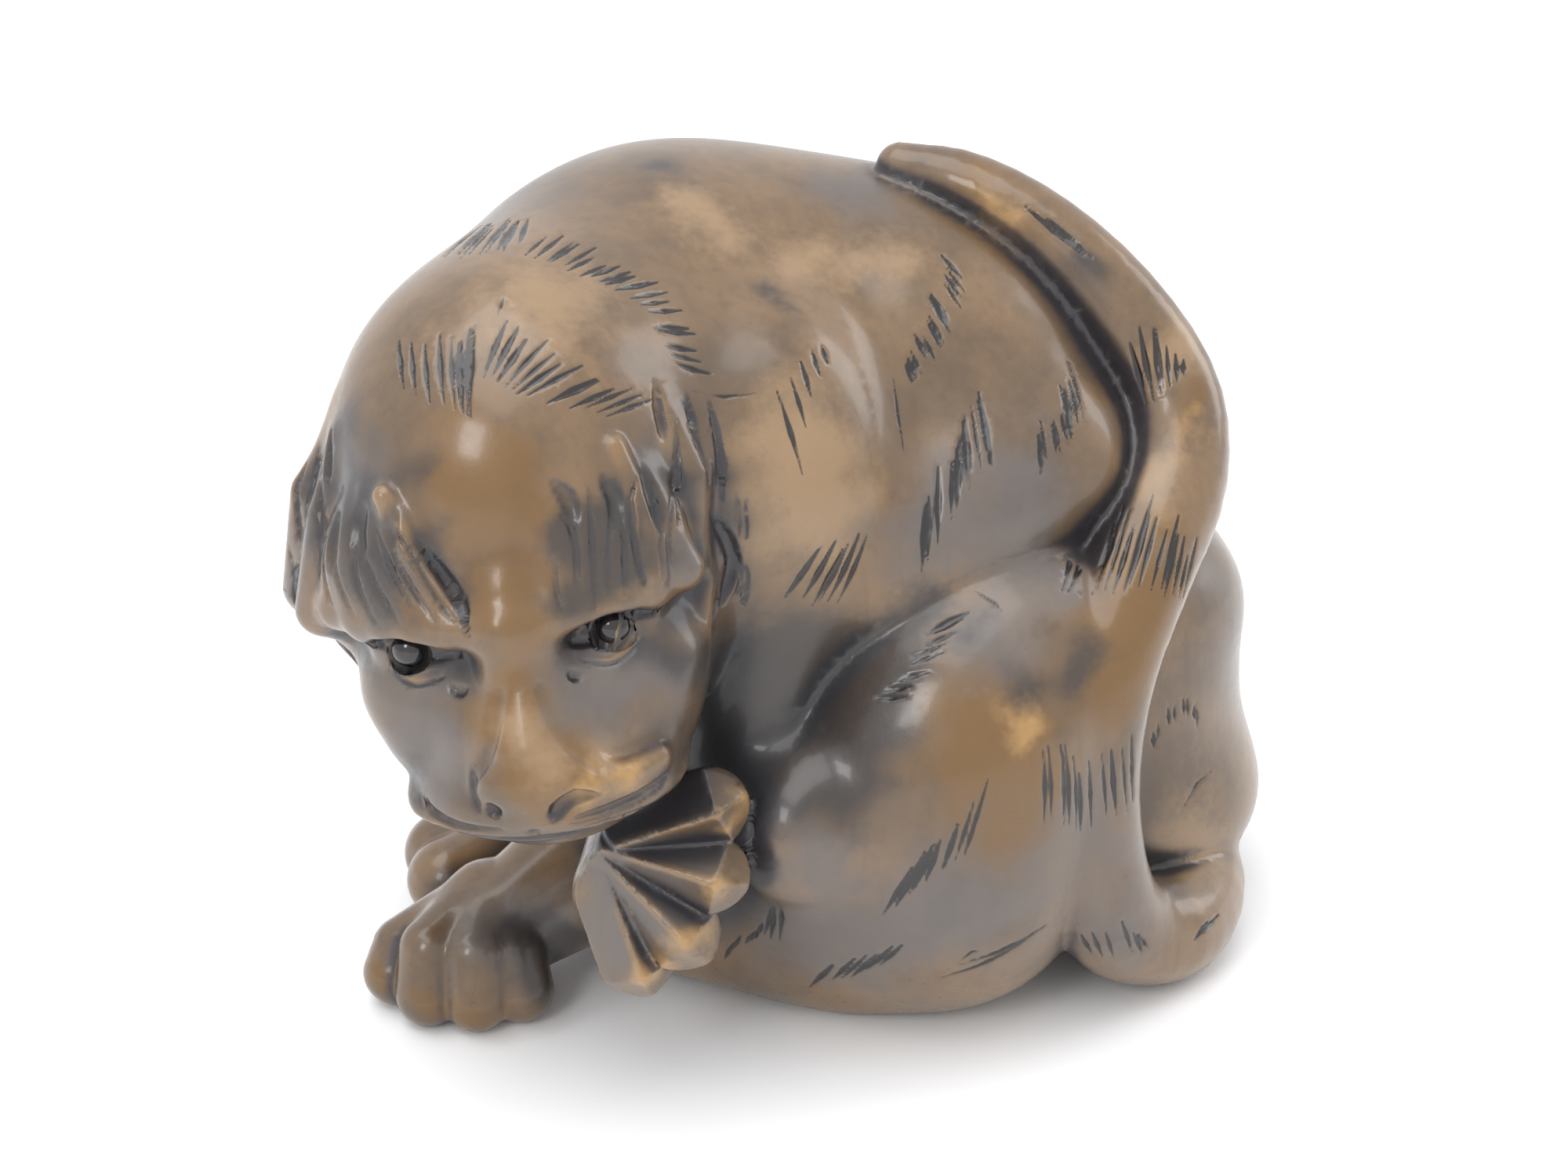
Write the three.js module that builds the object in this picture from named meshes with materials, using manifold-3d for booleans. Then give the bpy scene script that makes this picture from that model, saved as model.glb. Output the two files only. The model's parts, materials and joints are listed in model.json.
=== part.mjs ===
// A carved boxwood netsuke: a tiger sits curled into a ball, turns its head to its left
// and gnaws the forepaw that it holds up on its knee. Its tail runs under the rump, up the
// left flank and over the back. Both eyes are pegs of dark horn set in drilled sockets, and
// two holes in the right flank, for the cord, meet inside the wood.
//
// Millimetres, +Z up. The tiger's chest and toes point to -X, its left side and its face
// to -Y. The origin lies on the ground, in the middle of the figure.
import * as THREE from 'three';
import { triTable } from 'three/addons/objects/MarchingCubes.js';
import { mergeVertices } from 'three/addons/utils/BufferGeometryUtils.js';
import Module from 'manifold-3d';

// ---------------------------------------------------------------- driving dimensions
const SIDES = [-1, 1];          // the tiger's right side and its left side
const MIDDLE = [1.01, -0.78];   // the middle of the figure's outline, where the origin goes
const HEAD = { at: [-9.95, -6.9, 23.35], yaw: -4, nod: 10, tilt: -9 };
const EYE = { x: 3.9, y: -7.5, z: -0.5, turn: 0.25, radius: 0.72, depth: 2.0, gap: 0.08 };
const MUZZLE = 0.45;            // how far the muzzle is carved off the middle, to the left
const CORD = { mouths: [[2, 19, 14.5], [12.5, 19, 11.5]], depth: 8, radii: [1.9, 1.5] };

// How finely the figure is meshed: the box and the spacing of the grid, then the number of
// triangles that are kept, more of them near the face and the front paws.
const GRID = { low: [-20, -21, -1.6], high: [24, 19, 37], spacing: 0.32 };
const BODY_FACES = 8700;
const FINE_PLACES = [
  { at: [-9.95, -12.9, 21.35], reach: 8, weight: 4 },
  { at: [-14, -6, 2], reach: 5, weight: 2 },
  { at: [-4, -13.5, 10], reach: 5, weight: 2 },
];

const wood = new THREE.MeshStandardMaterial({ color: 0x8a6a42, roughness: 0.35, metalness: 0 });
const horn = new THREE.MeshStandardMaterial({ color: 0x14161a, roughness: 0.12, metalness: 0 });

// ---------------------------------------------------------------- shapes as distances
// A shape is { at, reach, distance(x, y, z) }: a point, the radius of a ball about it that
// holds the whole shape, and the distance to its surface, negative inside.

// An ellipsoid, turned by Euler angles in degrees.
function egg(at, radii, turn = [0, 0, 0]) {
  const [a, b, c] = turn.map(THREE.MathUtils.degToRad);
  const m = new THREE.Matrix4().makeRotationFromEuler(new THREE.Euler(a, b, c)).invert().elements;
  const [rx, ry, rz] = radii;
  return {
    at,
    reach: Math.max(rx, ry, rz),
    distance(x, y, z) {
      const dx = x - at[0], dy = y - at[1], dz = z - at[2];
      const px = (m[0] * dx + m[4] * dy + m[8] * dz) / rx;
      const py = (m[1] * dx + m[5] * dy + m[9] * dz) / ry;
      const pz = (m[2] * dx + m[6] * dy + m[10] * dz) / rz;
      const k0 = Math.hypot(px, py, pz);
      const k1 = Math.hypot(px / rx, py / ry, pz / rz);
      return k1 < 1e-9 ? -Math.min(rx, ry, rz) : (k0 * (k0 - 1)) / k1;
    },
  };
}

// A chain of tapered rods through points [x, y, z, radius].
function limb(points) {
  const box = new THREE.Box3().setFromPoints(points.map(([x, y, z]) => new THREE.Vector3(x, y, z)));
  const ball = box.getBoundingSphere(new THREE.Sphere());
  const thickest = Math.max(...points.map((p) => p[3]));
  const rods = points.slice(1).map((b, i) => {
    const a = points[i];
    const d = [b[0] - a[0], b[1] - a[1], b[2] - a[2]];
    return { a, d, taper: b[3] - a[3], square: d[0] * d[0] + d[1] * d[1] + d[2] * d[2] };
  });
  return {
    at: ball.center.toArray(),
    reach: ball.radius + thickest,
    distance(x, y, z) {
      let nearest = Infinity;
      for (const { a, d, taper, square } of rods) {
        const px = x - a[0], py = y - a[1], pz = z - a[2];
        const t = Math.min(1, Math.max(0, (px * d[0] + py * d[1] + pz * d[2]) / square));
        const gap = Math.hypot(px - d[0] * t, py - d[1] * t, pz - d[2] * t) - (a[3] + taper * t);
        nearest = Math.min(nearest, gap);
      }
      return nearest;
    },
  };
}

// A rod with flat cuts that bring it to a ridge along its back and to a blunt point.
function wedgeToe(root, tip, radius) {
  const rod = limb([[...root, radius], [...tip, radius]]);
  const end = new THREE.Vector3(...tip);
  const along = end.clone().sub(new THREE.Vector3(...root)).normalize();
  const facing = new THREE.Vector3(0.1, -1, 0.3);
  facing.addScaledVector(along, -facing.dot(along)).normalize();
  const across = new THREE.Vector3().crossVectors(along, facing);
  const cuts = SIDES.flatMap((lean) => [
    { normal: facing.clone().addScaledVector(across, 0.9 * lean), out: 0.66 },
    { normal: along.clone().addScaledVector(facing, 0.5).addScaledVector(across, 0.7 * lean), out: 0.7 },
  ]).map(({ normal, out }) => {
    const n = normal.normalize();
    return [...n, n.dot(end) + out * radius];
  });
  return {
    ...rod,
    distance: (x, y, z) => Math.max(
      rod.distance(x, y, z),
      ...cuts.map(([a, b, c, d]) => a * x + b * y + c * z - d),
    ),
  };
}

// The same shape placed by a rigid matrix.
function placed(shape, matrix) {
  const back = matrix.clone().invert().elements;
  return {
    at: new THREE.Vector3(...shape.at).applyMatrix4(matrix).toArray(),
    reach: shape.reach,
    distance: (x, y, z) => shape.distance(
      back[0] * x + back[4] * y + back[8] * z + back[12],
      back[1] * x + back[5] * y + back[9] * z + back[13],
      back[2] * x + back[6] * y + back[10] * z + back[14],
    ),
  };
}

// A block of wood that is built up and cut back step by step. Each step melts into the
// work over a width called blend.
class Carving {
  steps = [];
  frame = new THREE.Matrix4();
  within(matrix, work) {
    this.frame = matrix;
    work();
    this.frame = new THREE.Matrix4();
  }
  add(shape, blend) {
    this.steps.push({ shape: placed(shape, this.frame), blend, sign: 1 });
  }
  cut(shape, blend) {
    this.steps.push({ shape: placed(shape, this.frame), blend, sign: -1 });
  }
  distance(x, y, z) {
    let d = 1e3;
    for (const { shape, blend, sign } of this.steps) {
      const far = Math.hypot(x - shape.at[0], y - shape.at[1], z - shape.at[2]) - shape.reach;
      if (far > (sign > 0 ? d : -d) + blend) continue;
      const s = sign * shape.distance(x, y, z);
      const melt = Math.max(0, blend - Math.abs(d - s)) / blend;
      const round = (melt * melt * blend) / 4;
      d = sign > 0 ? Math.min(d, s) - round : Math.max(d, s) + round;
    }
    return d;
  }
}

// ---------------------------------------------------------------- the figure
// The head's own frame: +X to its left, -Y out of the face, +Z to the crown.
function headFrame() {
  const turn = [HEAD.nod, HEAD.tilt, HEAD.yaw].map(THREE.MathUtils.degToRad);
  return new THREE.Matrix4()
    .makeRotationFromEuler(new THREE.Euler(...turn, 'ZYX'))
    .setPosition(...HEAD.at);
}

function carveTrunk(figure) {
  figure.add(egg([1.5, 4, 19.5], [15.5, 11.5, 14.8]), 1);
  figure.add(egg([-5.5, 3.5, 23.5], [9.5, 9.5, 11.5]), 4);
  figure.add(egg([11, 5.5, 10.5], [9.5, 9, 11]), 3);
  figure.add(egg([13, 4.5, 5.5], [8.6, 7.6, 5.6]), 2);
  figure.add(egg([13.4, 5, 14.5], [6.8, 6.4, 4.2]), 1.5);
  figure.add(egg([-2, 2, 9], [9, 8, 8.5]), 3);
  figure.add(egg([-8, -1, 25], [7.2, 7.6, 7.3]), 4);
  figure.add(egg([-6, 0, 28], [7.0, 6.6, 6.0]), 3);
  // the flank folds down over the left thigh
  figure.add(limb([[10.8, -2.6, 24.0, 2.8], [7.4, -4.2, 22.8, 3.4], [3.4, -5.4, 20.4, 3.3]]), 2.5);
  // right flank and shoulder blade
  figure.add(egg([-6, 10.6, 23.5], [6.2, 4.8, 8.6], [0, 14, 0]), 1.2);
  figure.add(limb([[-6, 10, 18, 3.6], [-6.5, 7.5, 10, 3.2]]), 2);
}

function carveShoulder(figure) {
  figure.add(egg([-0.8, -3.6, 24], [5.8, 6.8, 8.2], [0, -6, 0]), 1.2);
  figure.add(limb([[-0.4, -5.6, 20.5, 4.2], [-1.8, -6.4, 13.5, 3.4]]), 1.5);
}

function carveHaunches(figure) {
  // left thigh, folded under the flank, with its knee at the raised paw
  figure.add(egg([6.6, -5.0, 12.9], [7.4, 7.5, 9.9], [-12, 36, 0]), 0.4);
  figure.add(egg([7.2, -4.2, 8.4], [6.4, 7.2, 7.8]), 2.5);
  figure.add(egg([0.5, -9.2, 11.2], [3.0, 3.8, 3.5]), 1.6);
  figure.add(egg([3.4, -4.0, 5.2], [8.2, 5.4, 5.6]), 3);
  figure.add(limb([[2.6, -4.6, 3.2, 3.0], [-4.6, -4.4, 3.6, 2.6]]), 2);
  // right thigh and its foot, behind
  figure.add(egg([7.0, 9.2, 12.2], [7.4, 7.4, 10.4], [14, 32, 0]), 0.5);
  figure.add(egg([7.5, 8.6, 7.5], [8.4, 6.4, 7.6]), 2.5);
  figure.add(egg([-0.6, 9.6, 9.4], [3.6, 3.8, 3.8]), 2);
  figure.add(limb([[8, 9, 3.4, 3.4], [-4, 7.6, 3, 2.8], [-13, 4.4, 2.4, 2.2]]), 1.2);
}

function carveSkull(figure) {
  figure.add(egg([0.3, 0.5, 3.0], [7.4, 8.4, 7.7]), 3.5);
  figure.add(egg([-0.3, -1.6, -1.6], [8.4, 5.6, 5.6], [0, 4, 0]), 1.5);
  figure.add(egg([0.2, -3.2, -3.2], [6.3, 5.4, 5.2]), 1.5);
  figure.add(egg([MUZZLE, -6.8, -4.8], [5.0, 4.4, 4.0]), 1.6);
  SIDES.forEach((side) => figure.add(egg([side * 4.5, -5.2, -4.2], [1.9, 3.4, 3.2]), 1.2));
  figure.add(egg([0.2, -6.8, -7.9], [3.8, 3.6, 1.3]), 0.8);
}

// A bushy brow: a wedge that juts out over the eye, made up of locks that fan down from
// its peak, with one ridge that stands higher. A soft furrow parts it from the forehead.
const BROW_RIDGES = {
  '-1': [[3.5, -6.5, 5.7], [2.7, -7.6, 3.8], [1.3, -8.5, 1.2]],
  1: [[5.0, -5.2, 5.8], [5.7, -6.4, 3.2], [5.8, -7.2, 1.3]],
};

function carveBrow(figure, side) {
  figure.add(egg([side * 4.0, -6.2, 2.2], [3.0, 1.6, 3.0], [-20, side * -8, side * 20]), 1.4);
  const locks = 5;
  for (let i = 0; i < locks; i++) {
    const t = i / (locks - 1);
    const foot = [side * (2.0 + 4.6 * t), -8.2 + 2.4 * t ** 1.6, 0.9 - 0.3 * t];
    const top = [side * (2.9 + 2.5 * t), -6.5 + 2.1 * t, 5.5 - 2.4 * Math.abs(t - 0.35)];
    figure.add(limb([[...foot, 0.85], [...top, 0.4]]), 0.6);
  }
  figure.add(limb(BROW_RIDGES[side].map(([x, y, z]) => [side * x, y, z, 0.4])), 0.4);
  figure.cut(limb([[side * 2.4, -7.4, 6.4, 0.3], [side * 1.1, -9.3, 1.9, 0.5]]), 0.9);
}

// The lower edge of the brows runs on across the bridge of the nose.
function carveBrowEdge(figure) {
  figure.add(limb([[-2.2, -8.1, 0.9, 0.8], [0.1, -8.8, 0.8, 0.8], [2.2, -8.1, 0.9, 0.8]]), 0.6);
}

// The socket is cut up under the brow, the lids close round the eye, and the cheek rises
// under it.
function carveEyeSocket(figure, side) {
  figure.cut(egg([side * 3.9, -8.8, -0.3], [2.1, 1.8, 0.95], [0, side * 4, side * 14]), 0.25);
  figure.add(egg([side * (EYE.x - 0.1), EYE.y + 0.8, EYE.z - 0.1], [1.7, 1.2, 1.05]), 0.25);
  figure.add(egg([side * 3.8 + 0.2, -6.2, -2.9], [2.8, 2.6, 2.1]), 1.0);
}

// The muzzle, with the pad of the nose, two nostrils that differ in form, and the mouth.
function carveMuzzle(figure) {
  figure.add(limb([
    [0.3, -7.4, 1.6, 1.5], [0.6, -9.2, -1.6, 1.2], [0.6, -10.2, -3.6, 1.6],
  ]), 1.0);
  figure.add(egg([0.6, -10.8, -4.4], [2.6, 1.5, 1.3], [20, 0, 0]), 0.4);
  figure.add(egg([MUZZLE, -8.5, -5.8], [4.9, 3.5, 1.6]), 0.8);
  figure.add(egg([0.1, -8.0, -6.7], [5.5, 3.6, 1.3]), 0.6);
  figure.add(limb([[2.4, -11.4, -4.7, 0.5], [3.9, -10.6, -5.0, 0.5], [4.9, -9.5, -5.2, 0.35]]), 0.5);
  figure.cut(egg([-1.2, -12.2, -5.2], [0.36, 0.8, 0.42]), 0.12);
  figure.cut(limb([
    [2.7, -11.9, -5.0, 0.26], [2.1, -12.2, -4.8, 0.36],
    [1.4, -12.3, -5.2, 0.26], [1.0, -12.3, -5.8, 0.18],
  ]), 0.12);
  figure.cut(limb([
    [-4.8, -8.6, -7.0, 0.22], [-3.2, -10.7, -7.1, 0.28], [0.5, -11.6, -7.2, 0.3],
    [3.4, -10.7, -7.5, 0.28], [5.2, -8.4, -7.7, 0.22],
  ]), 0.4);
}

// The ears lie back along the head, the right one flatter, and the ruff of the cheek hangs
// behind them.
const EARS = {
  '-1': [
    [1.0, [[5.6, -2.2, 5.6, 0.5], [6.7, -3.2, 3.0, 1.0], [7.7, -4.5, -0.2, 1.1]]],
    [1.0, [[5.6, -0.4, 6.0, 0.5], [7.5, -1.4, 3.0, 1.2], [8.6, -2.6, -0.4, 1.1]]],
    [0.9, [[7.6, -0.4, 1.5, 1.2], [7.2, -1.2, -3.0, 1.0], [5.4, -2.4, -6.4, 0.9]]],
  ],
  1: [
    [0.5, [[6.2, -2.2, 5.8, 0.5], [7.0, -3.2, 3.0, 0.9], [6.8, -4.1, 0.2, 0.6]]],
    [0.5, [[6.6, -0.4, 6.0, 0.5], [7.8, -1.2, 3.0, 1.0], [7.8, -2.0, -0.4, 0.7]]],
    [0.7, [[7.8, -0.4, 1.5, 1.2], [7.4, -1.2, -3.0, 1.3], [5.6, -2.4, -6.4, 0.9]]],
    [0.4, [
      [6.9, -4.2, 1.2, 0.4], [7.0, -4.1, -1.0, 0.4], [6.7, -5.0, -2.4, 0.4], [5.7, -7.6, -4.4, 0.3],
    ]],
  ],
};

function carveEar(figure, side) {
  for (const [blend, points] of EARS[side]) {
    figure.add(limb(points.map(([x, y, z, r]) => [side * x, y, z, r])), blend);
  }
}

function carveHead(figure) {
  carveSkull(figure);
  for (const side of SIDES) {
    carveBrow(figure, side);
    carveEar(figure, side);
  }
  carveBrowEdge(figure);
  carveMuzzle(figure);
  SIDES.forEach((side) => carveEyeSocket(figure, side));
}

// The toes of the paw on the ground, each with its knuckle, and the tips of the raised toes.
const PAW_TOES = [
  [[-16.4, -4.9, 2.2], [-16.7, -5.6, 1.4]], [[-15.0, -6.6, 3.2], [-15.1, -7.3, 1.4]],
  [[-13.1, -7.0, 3.2], [-13.0, -7.7, 1.4]], [[-11.5, -6.4, 2.9], [-11.2, -7.0, 1.4]],
];
const RAISED_TOES = [[-2.9, -12.9, 13.6], [-2.9, -13.6, 11.0], [-4.0, -14.0, 8.6], [-5.8, -13.6, 7.1]];

function carveForelegs(figure) {
  // the right one stands on the ground
  figure.add(limb([[-2, 2, 8, 4], [-8.5, -2.2, 4.6, 3.2], [-12.2, -4.6, 3.0, 2.4]]), 1.2);
  for (const [knuckle, tip] of PAW_TOES) {
    figure.add(limb([[-12.8, -3.8, 3.7, 1.8], [...knuckle, 1.35], [...tip, 1.4]]), 0.35);
  }
  // the left one is raised to the mouth
  figure.add(limb([[-4, -3, 9, 3.6], [-6.1, -11.2, 8.8, 2.4]]), 1);
  RAISED_TOES.forEach((tip, i) => {
    figure.add(wedgeToe([-5.5 - 0.4 * i, -12.4, 12.4 - i], tip, 1.6), 0.15);
  });
}

function carveFarFoot(figure) {
  for (const [x, y] of [[-15.2, 1.8], [-15.6, 4.2], [-14.6, 6.4]]) {
    figure.add(limb([[-11, 4.6, 2.4, 1.8], [x, y, 1.6, 1.9]]), 0.35);
  }
}

function carveTail(figure) {
  const bends = [
    [13, 8, 4.5], [17.0, 5.0, 3.4], [18.2, 0.6, 2.4], [16.8, -3.4, 2.4], [14.5, -5.4, 3.6],
    [12.9, -7.2, 7], [12.2, -7.6, 12], [12.7, -7.2, 16.8], [14.3, -4.9, 20.1], [15.9, -2.4, 23.1],
    [15.9, -0.6, 25.9], [13.8, 0.6, 29.3], [10.6, 2, 32.2], [7.4, 3, 33.9], [4.8, 4, 34.3],
  ];
  const curve = new THREE.CatmullRomCurve3(bends.map((p) => new THREE.Vector3(...p)));
  const steps = 48;
  const rod = curve.getPoints(steps).map((p, i) => {
    const t = i / steps;
    return [p.x, p.y, p.z, 2.5 - 0.4 * t - 1.1 * Math.max(0, (t - 0.6) / 0.4) ** 1.5];
  });
  figure.add(limb(rod), 0.4);
}

function carveFigure() {
  const figure = new Carving();
  carveTrunk(figure);
  carveShoulder(figure);
  carveHaunches(figure);
  carveForelegs(figure);
  carveFarFoot(figure);
  figure.within(headFrame(), () => carveHead(figure));
  carveTail(figure);
  return figure;
}

// ---------------------------------------------------------------- meshing
// The figure's distance at every point of a grid. A block of points that is plainly far
// from the surface takes the distance at its middle.
function sampled(figure, low, count, spacing) {
  const [nx, ny, nz] = count;
  const field = new Float64Array(nx * ny * nz);
  const block = 4;
  const clear = block * spacing * 1.6;
  const fill = (i0, j0, k0) => {
    const middle = [i0, j0, k0].map((v, n) => low[n] + (v + (block - 1) / 2) * spacing);
    const rough = figure.distance(...middle);
    for (let k = k0; k < Math.min(nz, k0 + block); k++) {
      for (let j = j0; j < Math.min(ny, j0 + block); j++) {
        for (let i = i0; i < Math.min(nx, i0 + block); i++) {
          const d = Math.abs(rough) > clear ? rough
            : figure.distance(low[0] + i * spacing, low[1] + j * spacing, low[2] + k * spacing);
          field[i + nx * (j + ny * k)] = Math.abs(d) < 1e-4 ? 1e-4 : d;
        }
      }
    }
  };
  for (let k = 0; k < nz; k += block) {
    for (let j = 0; j < ny; j += block) {
      for (let i = 0; i < nx; i += block) fill(i, j, k);
    }
  }
  return field;
}

// The figure's surface as a closed triangle mesh, by marching cubes on a regular grid.
function meshed(figure, { low, high, spacing }) {
  const count = low.map((v, i) => Math.ceil((high[i] - v) / spacing) + 1);
  const [nx, ny, nz] = count;
  const at = (i, j, k) => i + nx * (j + ny * k);
  const field = sampled(figure, low, count, spacing);
  const corners = [
    [0, 0, 0], [1, 0, 0], [1, 1, 0], [0, 1, 0], [0, 0, 1], [1, 0, 1], [1, 1, 1], [0, 1, 1],
  ];
  const edges = [
    [0, 1], [1, 2], [2, 3], [3, 0], [4, 5], [5, 6], [6, 7], [7, 4], [0, 4], [1, 5], [2, 6], [3, 7],
  ];
  const points = [];
  const faces = [];
  const known = new Map();
  const vertexOn = (i, j, k, edge) => {
    const [a, b] = edges[edge].map((c) => corners[c].map((v, n) => v + [i, j, k][n]));
    const ia = at(...a), ib = at(...b);
    const key = Math.min(ia, ib) * field.length + Math.max(ia, ib);
    if (!known.has(key)) {
      const t = field[ia] / (field[ia] - field[ib]);
      known.set(key, points.length / 3);
      a.forEach((v, n) => points.push(low[n] + spacing * (v + t * (b[n] - v))));
    }
    return known.get(key);
  };
  for (let k = 0; k < nz - 1; k++) {
    for (let j = 0; j < ny - 1; j++) {
      for (let i = 0; i < nx - 1; i++) {
        let form = 0;
        for (let n = 0; n < 8; n++) {
          const [ci, cj, ck] = corners[n];
          if (field[at(i + ci, j + cj, k + ck)] < 0) form |= 1 << n;
        }
        for (let t = form * 16; triTable[t] !== -1; t += 3) {
          faces.push([0, 2, 1].map((n) => vertexOn(i, j, k, triTable[t + n])));
        }
      }
    }
  }
  return { points, faces };
}

// ---------------------------------------------------------------- thinning
// Edges are collapsed in the order of the least damage, measured by error quadrics, until
// the wanted number of faces is left. care(x, y, z) says how much a place matters.
class Thinner {
  constructor({ points, faces }, care) {
    this.points = Float64Array.from(points);
    this.faces = faces.map((f) => [...f]);
    this.care = care;
    const count = points.length / 3;
    this.errors = Array.from({ length: count }, () => new Float64Array(10));
    this.around = Array.from({ length: count }, () => new Set());
    this.stamp = new Int32Array(count);
    this.heap = [];
    this.faces.forEach((f, i) => {
      f.forEach((v) => this.around[v].add(i));
      this.addPlane(f);
    });
    this.faces.forEach((f) => f.forEach((v, n) => {
      const w = f[(n + 1) % 3];
      if (v < w) this.propose(v, w);
    }));
  }

  normal(a, b, c) {
    const p = this.points;
    const [ux, uy, uz] = [0, 1, 2].map((n) => p[3 * b + n] - p[3 * a + n]);
    const [vx, vy, vz] = [0, 1, 2].map((n) => p[3 * c + n] - p[3 * a + n]);
    return [uy * vz - uz * vy, uz * vx - ux * vz, ux * vy - uy * vx];
  }

  addPlane([a, b, c]) {
    const n = this.normal(a, b, c);
    const size = Math.hypot(...n) || 1e-12;
    const [x, y, z] = n.map((v) => v / size);
    const p = this.points;
    const w = -(x * p[3 * a] + y * p[3 * a + 1] + z * p[3 * a + 2]);
    const weight = size * this.care(p[3 * a], p[3 * a + 1], p[3 * a + 2]);
    const terms = [x * x, x * y, x * z, x * w, y * y, y * z, y * w, z * z, z * w, w * w];
    for (const v of [a, b, c]) terms.forEach((t, i) => { this.errors[v][i] += weight * t; });
  }

  errorAt(q, x, y, z) {
    return q[0] * x * x + 2 * q[1] * x * y + 2 * q[2] * x * z + 2 * q[3] * x + q[4] * y * y
      + 2 * q[5] * y * z + 2 * q[6] * y + q[7] * z * z + 2 * q[8] * z + q[9];
  }

  // Where the merged vertex does the least damage, and how much that is.
  bestPlace(a, b) {
    const q = this.errors[a].map((v, i) => v + this.errors[b][i]);
    const p = this.points;
    const m = new THREE.Matrix3().set(q[0], q[1], q[2], q[1], q[4], q[5], q[2], q[5], q[7]);
    const middle = [0, 1, 2].map((n) => (p[3 * a + n] + p[3 * b + n]) / 2);
    const span = Math.hypot(...[0, 1, 2].map((n) => p[3 * a + n] - p[3 * b + n]));
    let place = middle;
    if (Math.abs(m.determinant()) > 1e-6) {
      const least = new THREE.Vector3(-q[3], -q[6], -q[8]).applyMatrix3(m.invert()).toArray();
      if (Math.hypot(...least.map((v, n) => v - middle[n])) < 1.5 * span) place = least;
    }
    return { place, cost: Math.max(0, this.errorAt(q, ...place)) + 1e-5 * span * span };
  }

  propose(a, b) {
    const { place, cost } = this.bestPlace(a, b);
    const item = { a, b, place, cost, mark: this.stamp[a] + this.stamp[b] };
    let i = this.heap.push(item) - 1;
    while (i > 0) {
      const up = (i - 1) >> 1;
      if (this.heap[up].cost <= cost) break;
      this.heap[i] = this.heap[up];
      i = up;
    }
    this.heap[i] = item;
  }

  next() {
    const top = this.heap[0];
    const last = this.heap.pop();
    const size = this.heap.length;
    let i = 0;
    while (size > 0) {
      let child = 2 * i + 1;
      if (child >= size) break;
      if (child + 1 < size && this.heap[child + 1].cost < this.heap[child].cost) child += 1;
      if (this.heap[child].cost >= last.cost) break;
      this.heap[i] = this.heap[child];
      i = child;
    }
    if (size > 0) this.heap[i] = last;
    return top;
  }

  neighbours(v) {
    const found = new Set();
    for (const f of this.around[v]) this.faces[f].forEach((w) => found.add(w));
    found.delete(v);
    return found;
  }

  // Would moving v to the place turn over any of its faces that don't touch other?
  turnsOver(v, other, place) {
    const p = this.points;
    const kept = [p[3 * v], p[3 * v + 1], p[3 * v + 2]];
    for (const f of this.around[v]) {
      const face = this.faces[f];
      if (face.includes(other)) continue;
      const before = this.normal(...face);
      place.forEach((x, n) => { p[3 * v + n] = x; });
      const after = this.normal(...face);
      kept.forEach((x, n) => { p[3 * v + n] = x; });
      const dot = before[0] * after[0] + before[1] * after[1] + before[2] * after[2];
      if (dot < 0.3 * Math.hypot(...before) * Math.hypot(...after)) return true;
    }
    return false;
  }

  collapse({ a, b, place }) {
    const near = this.neighbours(a);
    const shared = [...this.neighbours(b)].filter((v) => near.has(v));
    if (shared.length !== 2) return 0;
    if (this.turnsOver(a, b, place) || this.turnsOver(b, a, place)) return 0;
    let lost = 0;
    for (const f of [...this.around[b]]) {
      const face = this.faces[f];
      if (face.includes(a)) {
        face.forEach((v) => this.around[v].delete(f));
        this.faces[f] = null;
        lost += 1;
      } else {
        face[face.indexOf(b)] = a;
        this.around[a].add(f);
      }
    }
    this.around[b].clear();
    place.forEach((x, n) => { this.points[3 * a + n] = x; });
    this.errors[b].forEach((v, i) => { this.errors[a][i] += v; });
    this.stamp[a] += 1;
    this.stamp[b] = -1e6;
    for (const v of this.neighbours(a)) this.propose(a, v);
    return lost;
  }

  thinTo(wanted) {
    let left = this.faces.length;
    while (left > wanted && this.heap.length > 0) {
      const item = this.next();
      if (item.mark === this.stamp[item.a] + this.stamp[item.b]) left -= this.collapse(item);
    }
    return { points: this.points, faces: this.faces.filter((f) => f) };
  }
}

// ---------------------------------------------------------------- solids
const wasm = await Module();
wasm.setup();

function solidOf(points, triangles) {
  return new wasm.Manifold(new wasm.Mesh({
    numProp: 3, vertProperties: new Float32Array(points), triVerts: new Uint32Array(triangles),
  }));
}

function solidFrom(geometry) {
  const bare = geometry.clone();
  bare.deleteAttribute('normal');
  bare.deleteAttribute('uv');
  const closed = mergeVertices(bare, 1e-5);
  return solidOf(closed.attributes.position.array, closed.index.array);
}

function geometryOf(solid) {
  const { vertProperties, triVerts } = solid.getMesh();
  const geometry = new THREE.BufferGeometry();
  geometry.setAttribute('position', new THREE.BufferAttribute(vertProperties, 3));
  geometry.setIndex(new THREE.BufferAttribute(triVerts, 1));
  geometry.computeVertexNormals();
  return geometry;
}

// ---------------------------------------------------------------- tools that cut
// Everything below the ground, which leaves flat soles under the paws, haunches and tail.
function groundCut() {
  return new THREE.BoxGeometry(80, 80, 20).translate(0, 0, -10);
}

// A horn eye: a round peg with a domed end that looks out of the face, along -Y.
function eyePeg(radius, depth) {
  const dome = new THREE.EllipseCurve(0, 0, radius, radius * 0.85, 0, Math.PI / 2).getPoints(4);
  const profile = [new THREE.Vector2(0, -depth), new THREE.Vector2(radius, -depth), ...dome];
  profile[profile.length - 1].x = 0;
  return new THREE.LatheGeometry(profile, 12).rotateX(Math.PI);
}

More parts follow.
